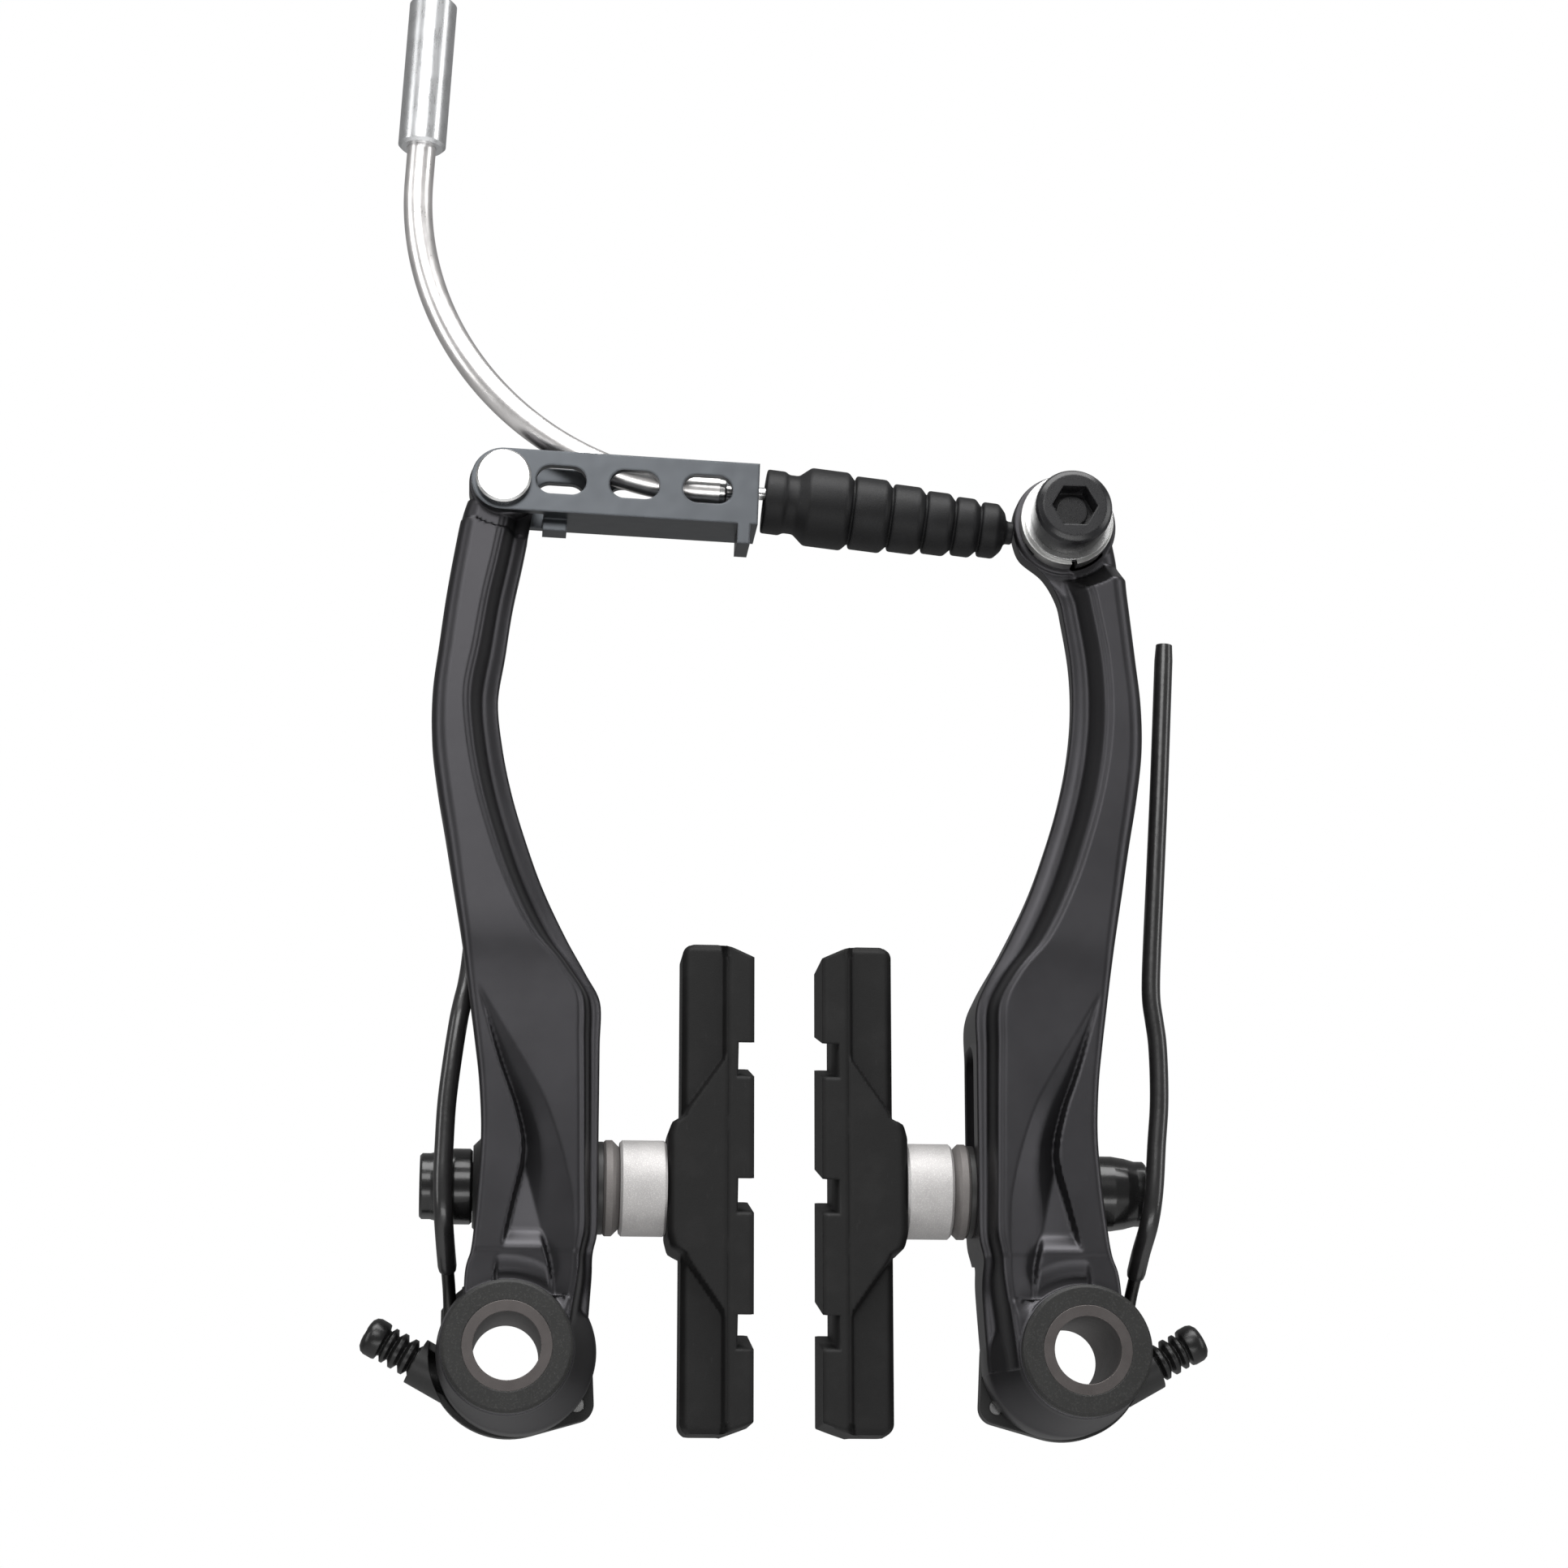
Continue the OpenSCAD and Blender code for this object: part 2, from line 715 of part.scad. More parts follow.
module right_arm() {
    head_h = head_face - head_rear;
    head_cone = 4.4;
    color([0.16, 0.16, 0.17])
        side_of(RIGHT)
            difference() {
                union() {
                    arm_boss();
                    arm_blade(RIGHT, HEAD_ROWS, drawn_head, clamp_height);
                    forward(head_rear)
                        translate([clamp_out, clamp_height])
                            rotate_extrude()
                                polygon([
                                    [0, 0], [head_d / 2 - 1.4, 0], [head_d / 2, head_cone],
                                    [head_d / 2, head_h], [0, head_h],
                                ]);
                }
                arm_cuts(RIGHT);
                translate([clamp_out, 0, clamp_height]) {
                    forward(head_face)
                        rotate_extrude()
                            polygon([
                                [0, 0], [clamp_plate_d / 2 + 1, 0],
                                [clamp_step_r, front_depth - head_face],
                                [clamp_step_r, 10], [0, 10],
                            ]);
                    forward(0)
                        cylinder(r = bolt_d / 2 + running_gap, h = 30);
                }
            }
}

module spring_hook(side) {
    hook_out = seat_out + hook_d / 2 + 0.2 + seat_sway(side);
    hook_z = 39.5;
    hook_rear = 7.2;
    color("gray")
        side_of(side)
            forward(hook_rear)
                translate([hook_out, hook_z])
                    cylinder(d = hook_d, h = wall_front - seat_gap - hook_rear);
}

// Side plate of the link with its eye and windows
module link_plate(depth) {
    forward(depth)
        linear_extrude(sheet_t)
            difference() {
                union() {
                    circle(d = link_height);
                    translate([0, -link_height / 2])
                        square([link_length - sheet_t, link_height]);
                }
                circle(r = rivet_d / 2 + running_gap);
                for (k = [0 : 2])
                    translate([window_start + k * window_pitch, 0.25])
                        for (end = [-1, 1])
                            union() {
                                translate([end * (window_length - window_height) / 2, 0])
                                    circle(d = window_height);
                                square([window_length - window_height, window_height],
                                    center = true);
                            }
            }
}

module link() {
    web_start = 5.2;
    tab_h = 2.6;
    keyhole_r = nose_d / 2 + running_gap;
    web_z = -link_height / 2;
    rear = link_front - link_width;
    color("black")
        at_link()
            difference() {
                union() {
                    link_plate(link_front - sheet_t);
                    link_plate(rear);
                    translate([web_start, -link_front, web_z])
                        cube([link_length - web_start, link_width, sheet_t]);
                    translate([link_length - sheet_t, -link_front, web_z])
                        cube([sheet_t, link_width, link_height]);
                    translate([link_length - sheet_t - 1.3, -link_front, web_z - tab_h])
                        cube([1.6, link_width - 2.4, tab_h + sheet_t]);
                    translate([web_start, -link_mid - 1.5, web_z - 1.6])
                        cube([3, 3, 1.6 + sheet_t]);
                }
                translate([link_length - 5, -link_mid, tip_rise])
                    rotate([0, 90, 0])
                        cylinder(r = keyhole_r, h = 10);
                translate([link_length - sheet_t - 1, -link_mid - keyhole_r + 0.1, tip_rise])
                    cube([sheet_t + 2, 2 * keyhole_r - 0.2, link_height]);
            }
}

module link_rivet() {
    rear = link_front - link_width;
    color("silver")
        at_link() {
            forward(rear - 0.9)
                cylinder(d = rivet_d, h = link_width + 0.9 + rivet_head_t);
            forward(link_front + seat_gap)
                rotate_extrude()
                    polygon([
                        [0, 0], [rivet_head_d / 2, 0], [rivet_head_d / 2, rivet_head_t - 0.3],
                        [rivet_head_d / 2 - 0.3, rivet_head_t], [0, rivet_head_t],
                    ]);
            forward(rear - 0.9)
                cylinder(d = rivet_d + 1.4, h = 0.9 - seat_gap);
        }
}

// Middle line of the lead pipe in the link's frame, from its tip to its top
function pipe_path() =
    let (
        turn = pipe_bend - 90,
        middle = [bend_x, -link_mid, tip_rise + pipe_bend_r],
        top = middle + pipe_bend_r * [-cos(turn), 0, sin(turn)]
    )
    [
        [tip_x - nose_flange, -link_mid, tip_rise],
        for (k = [0 : pipe_steps])
            middle - pipe_bend_r
                * [sin(k * pipe_bend / pipe_steps), 0, cos(k * pipe_bend / pipe_steps)],
        top + (pipe_top + pipe_grip) * [sin(turn), 0, cos(turn)],
    ];

module lead_pipe() {
    color("silver")
        at_link()
            tube(pipe_path(), pipe_r, pipe_bore / 2, 24);
}

module ferrule() {
    lip = 0.4;
    color("gainsboro")
        at_pipe_top()
            translate([0, 0, pipe_top])
                rotate_extrude()
                    polygon([
                        [pipe_r + seat_gap, 0], [ferrule_d / 2 - lip, 0], [ferrule_d / 2, lip],
                        [ferrule_d / 2, ferrule_length - lip],
                        [ferrule_d / 2 - lip, ferrule_length],
                        [housing_bore / 2, ferrule_length],
                        [housing_bore / 2, pipe_grip + seat_gap],
                        [pipe_r + seat_gap, pipe_grip + seat_gap],
                    ]);
}

// Turned nose at the pipe's end, which runs in the link's keyhole
module pipe_nose() {
    wire_bore = 0.9;
    flange_r = pipe_r - 0.12;
    start = tip_x - nose_flange + seat_gap;
    color("whitesmoke")
        at_link()
            translate([0, -link_mid, tip_rise])
                rotate([0, 90, 0])
                    rotate_extrude()
                        polygon([
                            [wire_bore / 2, start], [flange_r, start],
                            [flange_r, tip_x - 0.2], [flange_r - 0.2, tip_x],
                            [nose_d / 2, tip_x], [nose_d / 2, link_length + nose_reach],
                            [wire_bore / 2, link_length + nose_reach],
                        ]);
}

// Boot: along its axis each fold is a flat crest between two valleys
BOOT_RINGS = [
    [5.4, 11.8, boot_d], [11.3, 16.9, boot_d - 0.6], [16.4, 21.4, boot_d - 1.3],
    [20.9, 25.3, boot_d - 1.9], [24.8, 28.7, boot_d - 2.4], [28.2, 31.8, boot_d - 2.9],
];
module boot() {
    collar_d = 8.1;
    neck_d = 7.4;
    tip_d = 2.9;
    bore_r = 1.95;
    bore_length = 3.6;
    wire_r = 0.8;
    drawn = 32.9;
    scale_t = boot_length / drawn;
    slope = 1.2;
    color([0.13, 0.13, 0.13])
        at_boot()
            rotate_extrude()
                polygon([
                    [bore_r, 0], [collar_d / 2, 0], [collar_d / 2, 2.4 * scale_t],
                    [neck_d / 2, 2.9 * scale_t], [neck_d / 2, 4.2 * scale_t],
                    for (fold = BOOT_RINGS) each [
                        [fold[2] / 2, (fold[0] + 0.35) * scale_t],
                        [fold[2] / 2, (fold[1] - slope) * scale_t],
                        [fold[2] / 2 - 1, (fold[1] - 0.25) * scale_t],
                    ],
                    [tip_d / 2, 31.9 * scale_t], [tip_d / 2, boot_length],
                    [wire_r, boot_length], [wire_r, bore_length + 1],
                    [bore_r, bore_length],
                ]);
}

module at_clamp(depth) {
    side_of(RIGHT)
        translate([clamp_out, 0, clamp_height])
            forward(depth)
                children();
}

module clamp_plate() {
    color("silver")
        at_clamp(head_face + seat_gap)
            difference() {
                ring(clamp_plate_d / 2, bolt_d / 2 + running_gap, clamp_plate_t);
                translate([-clamp_plate_d, -4.2, -eps])
                    cube([2 * clamp_plate_d, 1.5, 0.7]);
                rotate([0, 0, -82])
                    translate([clamp_plate_d / 2 - 1, -0.35, -1])
                        cube([2, 0.7, clamp_plate_t + 2]);
            }
}

module clamp_washer() {
    color("whitesmoke")
        at_clamp(plate_front + seat_gap)
            ring(clamp_washer_d / 2, bolt_d / 2 + running_gap, clamp_washer_t);
}

module clamp_bolt() {
    hex_across = 5;
    socket_depth = 3;
    head_r = bolt_head_d / 2;
    shank_rear = 5;
    color("black")
        at_clamp(shank_rear)
            difference() {
                union() {
                    cylinder(d = bolt_d, h = washer_front + seat_gap - shank_rear);
                    translate([0, 0, washer_front + seat_gap - shank_rear])
                        rotate_extrude()
                            polygon([
                                [0, 0], [head_r, 0], [head_r, bolt_head_t - 0.9],
                                [head_r - 0.25, bolt_head_t - 0.35],
                                [head_r - 0.85, bolt_head_t], [0, bolt_head_t],
                            ]);
                }
                difference() {
                    translate([0, 0, bolt_front - socket_depth - shank_rear])
                        cylinder(d = hex_across / cos(30), h = 10, $fn = 6);
                    translate([0, 0, bolt_front - socket_depth - shank_rear - 1])
                        cylinder(r = 2, h = 1.6);
                }
            }
}

// Pad in profile: distance from its back, height above the post
module pad_profile() {
    half = pad_length / 2;
    bulge_half = 5.9;
    polygon([
        [0.8, half], [pad_t - 4, half], [pad_t, half - 1.8],
        [pad_t, -half + 1.3], [pad_t - 3.5, -half], [0.8, -half],
        [0, -half + 0.9], [0, -bulge_half - 2.4], [-pad_bulge * 0.75, -bulge_half - 1.6],
        [-pad_bulge, -bulge_half], [-pad_bulge, bulge_half],
        [-pad_bulge * 0.75, bulge_half + 1.6], [0, bulge_half + 2.4], [0, half - 0.9],
    ]);
}

// Cuts across the pad's face, which rise towards the rear
module pad_cuts() {
    for (z = cut_heights)
        translate([-face_in - 1, -post_depth - pad_w / 2, post_height + z])
            rotate([cut_slope, 0, 0])
                translate([0, -2, -cut_w / 2 * cos(cut_slope)])
                    cube([cut_depth + 1, pad_w + 5, cut_w * cos(cut_slope)]);
}

module pad(side) {
    color([0.12, 0.12, 0.12])
        side_of(side)
            difference() {
                translate([seat_sway(side), 0, 0])
                    difference() {
                        translate([-back_in, -post_depth + pad_w / 2, post_height])
                            rotate([90, 0, 0])
                                linear_extrude(pad_w)
                                    mirror([1, 0])
                                        pad_profile();
                        pad_cuts();
                    }
                post_inward(side, 0)
                    cylinder(r = post_d / 2 + seat_gap, h = post_end_in + seat_gap);
            }
}

module pad_post(side) {
    color("dimgray")
        side_of(side)
            post_outward(side, -post_end_in)
                cylinder(d = post_d, h = post_end_in + post_end_out);
}

module spacer(side) {
    edge = 0.3;
    r = washer_d / 2;
    color("darkgray")
        side_of(side)
            post_inward(side, spacer_in)
                rotate_extrude()
                    polygon([
                        [post_d / 2 + washer_gap, 0], [r - edge, 0], [r, edge],
                        [r, spacer_t - edge], [r - edge, spacer_t],
                        [post_d / 2 + washer_gap, spacer_t],
                    ]);
}

// Domed washer: flat towards the arm's cup, sloped on its far side
module dome_washer() {
    r = washer_d / 2;
    rotate_extrude()
        polygon([
            [post_d / 2 + washer_gap, 0], [r - 0.3, 0], [r, 0.3], [r, dome_t - 0.9],
            [r - 0.9, dome_t], [post_d / 2 + washer_gap, dome_t],
        ]);
}

module inner_dome_washer(side) {
    color([0.42, 0.41, 0.4])
        side_of(side)
            post_inward(side, dome_in)
                dome_washer();
}

module inner_cup_washer(side) {
    color("black")
        side_of(side)
            post_inward(side, cup_in)
                ring(washer_d / 2 - 0.2, post_d / 2 + washer_gap, cup_t);
}

module outer_cup_washer(side) {
    color("black")
        side_of(side)
            post_outward(side, outer_cup_out)
                ring(washer_d / 2 - 0.2, post_d / 2 + washer_gap, cup_t);
}

module outer_dome_washer(side) {
    color([0.3, 0.3, 0.3])
        side_of(side)
            post_outward(side, outer_dome_out)
                dome_washer();
}

module pad_nut(side) {
    r = nut_d / 2;
    color("black")
        side_of(side)
            post_outward(side, nut_out)
                difference() {
                    rotate_extrude()
                        polygon([
                            [post_d / 2 + running_gap, 0], [r - 0.3, 0], [r, 0.3],
                            [r, nut_length - 4.2], [r - 0.25, nut_length - 2.6],
                            [r - 0.6, nut_length - 1.3], [r - 0.6, nut_length - 0.3],
                            [r - 0.9, nut_length],
                            [post_d / 2 + running_gap, nut_length],
                        ]);
                }
}

pivot_sleeve(LEFT);  // left_pivot_sleeve
pivot_sleeve(RIGHT);  // right_pivot_sleeve
cap_ring(LEFT);  // left_cap_ring
cap_ring(RIGHT);  // right_cap_ring
spring_plate(LEFT);  // left_spring_plate
spring_plate(RIGHT);  // right_spring_plate
stop_pin(LEFT);  // left_stop_pin
stop_pin(RIGHT);  // right_stop_pin
return_spring(LEFT);  // left_return_spring
return_spring(RIGHT);  // right_return_spring
spring_sleeve(LEFT);  // left_spring_sleeve
spring_sleeve(RIGHT);  // right_spring_sleeve
tension_screw(LEFT);  // left_tension_screw
tension_screw(RIGHT);  // right_tension_screw
left_arm();
right_arm();
spring_hook(LEFT);  // left_spring_hook
spring_hook(RIGHT);  // right_spring_hook
link();
link_rivet();
lead_pipe();
ferrule();
pipe_nose();
boot();
clamp_plate();
clamp_washer();
clamp_bolt();
pad(LEFT);  // left_pad
pad(RIGHT);  // right_pad
pad_post(LEFT);  // left_pad_post
pad_post(RIGHT);  // right_pad_post
spacer(LEFT);  // left_spacer
spacer(RIGHT);  // right_spacer
inner_dome_washer(LEFT);  // left_inner_dome_washer
inner_dome_washer(RIGHT);  // right_inner_dome_washer
inner_cup_washer(LEFT);  // left_inner_cup_washer
inner_cup_washer(RIGHT);  // right_inner_cup_washer
outer_cup_washer(LEFT);  // left_outer_cup_washer
outer_cup_washer(RIGHT);  // right_outer_cup_washer
outer_dome_washer(LEFT);  // left_outer_dome_washer
outer_dome_washer(RIGHT);  // right_outer_dome_washer
pad_nut(LEFT);  // left_pad_nut
pad_nut(RIGHT);  // right_pad_nut
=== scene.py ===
import math

import bpy
import numpy as np
from mathutils import Matrix, Vector


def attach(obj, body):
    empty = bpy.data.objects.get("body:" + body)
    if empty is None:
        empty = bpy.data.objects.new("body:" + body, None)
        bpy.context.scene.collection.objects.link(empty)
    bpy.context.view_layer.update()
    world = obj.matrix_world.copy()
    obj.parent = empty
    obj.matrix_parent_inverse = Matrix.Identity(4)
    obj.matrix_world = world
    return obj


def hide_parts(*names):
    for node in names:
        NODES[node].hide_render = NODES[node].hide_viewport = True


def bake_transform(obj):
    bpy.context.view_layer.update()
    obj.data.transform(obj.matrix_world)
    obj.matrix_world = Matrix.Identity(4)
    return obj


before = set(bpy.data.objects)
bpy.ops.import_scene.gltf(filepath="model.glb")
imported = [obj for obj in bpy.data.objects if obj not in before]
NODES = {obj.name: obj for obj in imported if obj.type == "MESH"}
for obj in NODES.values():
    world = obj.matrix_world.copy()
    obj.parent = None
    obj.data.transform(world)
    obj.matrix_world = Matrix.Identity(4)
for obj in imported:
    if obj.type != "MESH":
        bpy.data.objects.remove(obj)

bl_info = {
    "name": "Linear-pull brake dresser",
    "version": (1, 0, 0),
    "blender": (4, 5, 0),
    "location": "View3D > Sidebar > Brake",
    "description": "Adds finishes, formed pieces and the studio to a linear-pull rim brake",
    "category": "Object",
}

MM = 0.001
SIDES = {"left": -1.0, "right": 1.0}


# Shader maths
class Value:
    """A socket that carries one number, for arithmetic that adds its Math nodes."""

    def __init__(self, shading, socket):
        self.shading = shading
        self.socket = socket

    def __add__(self, other):
        return self.shading.math("ADD", self, other)

    __radd__ = __add__

    def __mul__(self, other):
        return self.shading.math("MULTIPLY", self, other)

    __rmul__ = __mul__

    def __sub__(self, other):
        return self.shading.math("SUBTRACT", self, other)

    def __rsub__(self, other):
        return self.shading.math("SUBTRACT", other, self)


class Shading:
    """The nodes of a material or of the world, which all come from one method."""

    def __init__(self, owner):
        owner.use_nodes = True
        self.tree = owner.node_tree
        self.tree.nodes.clear()

    def plug(self, socket, value):
        """A number or colour is set on the socket, and anything else is linked to it."""
        if isinstance(value, Value):
            value = value.socket
        if isinstance(value, bpy.types.NodeSocket):
            self.tree.links.new(value, socket)
        elif socket.type == "RGBA":
            socket.default_value = (*value, 1.0)
        else:
            socket.default_value = value

    def node(self, kind, settings=None, **sockets):
        """A node of any type: its settings first, then its sockets by name or number."""
        made = self.tree.nodes.new(kind)
        for name, value in (settings or {}).items():
            setattr(made, name, value)
        for name, value in sockets.items():
            numbered = name.startswith("input_")
            key = int(name[len("input_"):]) if numbered else name.replace("_", " ")
            self.plug(made.inputs[key], value)
        return made

    def math(self, operation, *values):
        made = self.node("ShaderNodeMath", {"operation": operation},
                         **{f"input_{i}": value for i, value in enumerate(values)})
        return Value(self, made.outputs[0])


class Finish(Shading):
    """One procedural material. Its patterns read Object coordinates, in millimetres."""

    def __init__(self, name, **constants):
        self.material = bpy.data.materials.new(name)
        super().__init__(self.material)
        self.shader = self.node("ShaderNodeBsdfPrincipled")
        self.node("ShaderNodeOutputMaterial", Surface=self.shader.outputs["BSDF"])
        coordinates = self.node("ShaderNodeTexCoord")
        scaled = self.node("ShaderNodeVectorMath", {"operation": "SCALE"},
                           Vector=coordinates.outputs["Object"], Scale=1 / MM)
        self.place = scaled.outputs["Vector"]
        for name_of_socket, value in constants.items():
            self.set(name_of_socket.replace("_", " "), value)

    def noise(self, per_mm, detail=3.0, roughness=0.55, stretch=None):
        """Noise from 0 to 1 with per_mm features to the millimetre."""
        place = self.place
        if stretch:
            place = self.node("ShaderNodeMapping", Vector=place, Scale=stretch).outputs["Vector"]
        made = self.node("ShaderNodeTexNoise", Vector=place, Scale=per_mm, Detail=detail,
                         Roughness=roughness)
        return Value(self, made.outputs["Fac"])

    def step(self, value, low, high):
        """0 below low and 1 above high, with a soft change between them."""
        made = self.node("ShaderNodeMapRange", {"interpolation_type": "SMOOTHSTEP"},
                         Value=value, From_Min=low, From_Max=high)
        return Value(self, made.outputs["Result"])

    def mix(self, share, first, second):
        made = self.node("ShaderNodeMix", {"data_type": "RGBA"}, input_0=share,
                         input_6=first, input_7=second)
        return made.outputs[2]

    def set(self, name, value):
        self.plug(self.shader.inputs[name], value)

    def bump(self, height, strength, distance, edge_mm=0.0):
        """A bump in the shading, over edges that are shaded round where edge_mm isn't 0."""
        sockets = {"Strength": strength, "Distance": distance, "Height": height}
        if edge_mm:
            bevel = self.node("ShaderNodeBevel", {"samples": 4}, Radius=edge_mm * MM)
            sockets["Normal"] = bevel.outputs["Normal"]
        self.set("Normal", self.node("ShaderNodeBump", **sockets).outputs["Normal"])


# Properties
def colour_setting(name, description, default):
    return bpy.props.FloatVectorProperty(name=name, description=description, subtype="COLOR",
                                         size=3, min=0.0, max=1.0, default=default)


def power_setting(name, description, default):
    return bpy.props.FloatProperty(name=name, description=description, unit="POWER",
                                   default=default, min=0.0, max=200.0)


class BrakeColours(bpy.types.PropertyGroup):
    """Base colours of the brake's finishes."""

    arm: colour_setting("Arms", "Anodised black of the arms", (0.045, 0.044, 0.047))
    link: colour_setting("Link", "Black of the link", (0.058, 0.062, 0.067))
    steel: colour_setting("Bright steel", "Steel of the rivet, pin, nose and clamp washer",
                          (0.66, 0.66, 0.655))
    rubber: colour_setting("Rubber", "Rubber of the pads", (0.0035, 0.0034, 0.0034))


class BrakeStudio(bpy.types.PropertyGroup):
    """Camera and lamps."""

    distance: bpy.props.FloatProperty(
        name="Camera distance", description="From the camera to the point it looks at",
        unit="LENGTH", default=0.450, min=0.1, max=2.0)
    lens: bpy.props.FloatProperty(
        name="Lens", description="Focal length of the camera in millimetres",
        default=82.78, min=20.0, max=300.0)
    azimuth: bpy.props.FloatProperty(
        name="Azimuth", description="Camera's turn round the brake",
        subtype="ANGLE", unit="ROTATION", default=math.radians(-5.0))
    elevation: bpy.props.FloatProperty(
        name="Elevation", description="Camera's height angle",
        subtype="ANGLE", unit="ROTATION", default=math.radians(-14.0))
    key_power: power_setting("Key lamp", "Power of the lamp above the brake", 12.0)
    fill_power: power_setting("Fill lamp", "Power of the lamp in front of the brake", 4.2)
    side_power: power_setting("Side lamps", "Power of the strip lamp on each side", 2.6)
    low_power: power_setting("Low lamp", "Power of the lamp below the brake", 1.8)
    surround: bpy.props.FloatProperty(
        name="Surround", description="Strength of the white surround on the brake",
        default=0.26, min=0.0, max=2.0)


def colours():
    return bpy.context.scene.brake_colours


def tuple_of(value):
    return tuple(float(v) for v in value)


def lighter(colour, factor):
    return tuple(min(1.0, float(v) * factor) for v in colour)


# Sizes of the formed pieces, in millimetres. "Out" is measured away from the wheel
# from each pivot axis, and "depth" forwards from the plane of the stud shoulders.
PIVOT = 34.4
SLEEVE_R = 5.325
BOSS_R = 8.0
HEEL_R = 9.6
HEEL_SHIFT = 1.2
HEEL_REAR = 3.1
HEEL_DEPTH = 9.0
BOSS_FRONT = 16.6
ARM_SWAY = 0.9
POST_HEIGHT = 20.3
POST_DEPTH = 5.6
SLOT_R = 3.1
SLOT_TRAVEL = 15.0
RIVET_OUT = 2.4
EYE_Z = 107.1
EYE_R = 4.25
EYE_ROOM = 5.6
EYE_FRONT = 16.1
EYE_REAR = 11.1
CLAMP_OUT = 0.1
CLAMP_Z = 104.6
HEAD_R = 6.6
HEAD_FACE = 12.7
HEAD_REAR = 6.0
FACE_FRONT = 17.4
RIVET_BORE = 2.02
CLAMP_BORE = 3.0
LINK_ROOM_DEPTH = 1.4
SCOOP_R = 9.4
SCOOP_FOOT = 6.9
BLADE_TOP = {"left": 105.0, "right": 103.4}

# Blade: height, outer edge, inner edge towards the wheel, outer face of the rear wall
BLADE_ROWS = [
    [-2, 5.0, 10.0, 4.4], [8, 4.8, 10.7, 3.2], [11.4, 4.0, 10.75, 1.4], [14.4, 3.6, 11.3, 1],
    [20, 3.1, 11.3, 1], [26, 2.8, 11.3, 1], [32, 3.1, 11.3, 1], [37, 3.7, 11.3, 1],
    [42, 4.4, 11.3, 1], [45.5, 4.9, 9.75, 1], [50, 5.6, 7.25, 1.5], [56, 6.65, 4.4, 2.2],
    [62, 7.7, 2.2, 3], [68, 8.8, 0.35, 4], [74, 9.6, -0.95, 5], [80, 9.65, -1.6, 5],
]
TOP_ROWS = {
    "left": [[86, 9, -0.8, 5], [92, 8.3, 0, 4.5], [98, 7.4, 1.15, 4], [103, 6.5, 2, 3],
             [106.5, 5.4, 2.4, 2]],
    "right": [[86, 9.1, -1.5, 5], [92, 8.5, -0.65, 4.5], [95, 8.2, 0, 4], [98, 8, 1.7, 3],
              [100.5, 7.75, 4.6, 2], [103.5, 7.2, 5.6, 1]],
}
# Blade: height, rear, rear of the outer rail, start of the inner flank, front face,
# inset of the flank, inset of the outer edge
LEVEL_ROWS = [
    [-2, 3.4, 3.6, 9, 16.6, 2.75, 0.4], [4, 3.4, 3.6, 9, 16.6, 2.4, 0.5],
    [8, 3.4, 8, 9.4, 16.6, 2, 0.5], [11.4, 3.4, 11.75, 11.75, 16.7, 1.8, 0.6],
    [13.6, 0.8, 11.75, 11.75, 16.8, 1.8, 0.7], [42, 0.8, 11.75, 11.75, 17.1, 2.4, 0.9],
    [50, 4.2, 11.4, 11.6, 17.4, 4.0, 1.2], [56, 8, 10.6, 11.4, 17.4, 4.2, 1.4],
    [62, 9.6, 9.8, 11.2, 17.4, 4.2, 1.6], [74, 9.8, 9.95, 11.4, 17.4, 3.9, 1.8],
    [92, 9.8, 9.95, 12.2, 17.4, 3.3, 1.9], [120, 9.8, 9.95, 12.2, 17.4, 3.0, 1.9],
]
# Lines of the front relief: out at chosen heights
RAIL_LINE = [[5, 1.6], [10, 1.3], [11.8, 0.6], [17.5, -0.8], [23.3, -2.0], [28.5, -1.1],
             [33.9, 0.8], [40.1, 2.7], [44.4, 4.0]]
RIDGE_LINE = [[5, -8.5], [16.3, -8.3], [21.1, -7.5], [25.1, -6.4], [29.9, -4.6],
              [34.8, -1.8], [39.2, 0.9], [44.4, 4.0]]
FACET_LINE = [[5, -5.9], [10.1, -5.3], [23.3, -2.0]]
POCKET_ROWS = [[4, 1.1], [12, 1.4], [23.3, 2.4], [33, 1.5], [40, 0.6], [44.4, 0.0]]
POCKET_TOP = 44.4
FACET_TOP = 23.3
# Below this height the blade hides inside the ring round the pivot
HIDDEN_TOP = 6.15
HIDDEN_R = 6.7

# Routes of the spring legs beyond their coils: out, depth, height
SPRING_ROUTES = {
    "left": [
        [7.05, 1.95, 2.7], [6.85, 2.05, 5.2], [6.95, 3.3, 7.8], [7.2, 5.6, 10.2],
        [7.5, 8.4, 12.8], [7.8, 11, 16], [8, 11.8, 20], [7.9, 11.8, 24.6],
        [7.7, 11.8, 29.5], [7.2, 11.8, 34.4], [6.55, 11.5, 39.4], [6.1, 10.9, 42],
        [5.6, 10.1, 44.4], [5.2, 9.3, 47.5], [4.9, 8.6, 52], [4.8, 8.4, 60],
        [4.7, 8.4, 74], [4.6, 8.4, 89],
    ],
    "right": [
        [7.3, 1.95, 2.7], [7.7, 2.05, 5.2], [8, 3.3, 7.8], [8.25, 5.6, 10.2],
        [8.5, 8.4, 12.8], [9.1, 11, 16], [9.65, 11.8, 20], [10.1, 11.8, 25.6],
        [10.5, 11.8, 30], [10.6, 11.8, 34], [10.5, 11.8, 38.1], [10.2, 11.8, 40.8],
        [9.9, 11.8, 43.3], [9.9, 11.8, 46], [10.2, 11.8, 51], [10.9, 11.8, 61.1],
        [11.6, 11.8, 71.6], [12.65, 11.8, 89.2],
    ],
}
COIL_R = 7.15
COIL_DEPTH = 1.9
COIL_START = 64.0
WIRE_R = 0.79
COVER_R = 1.15
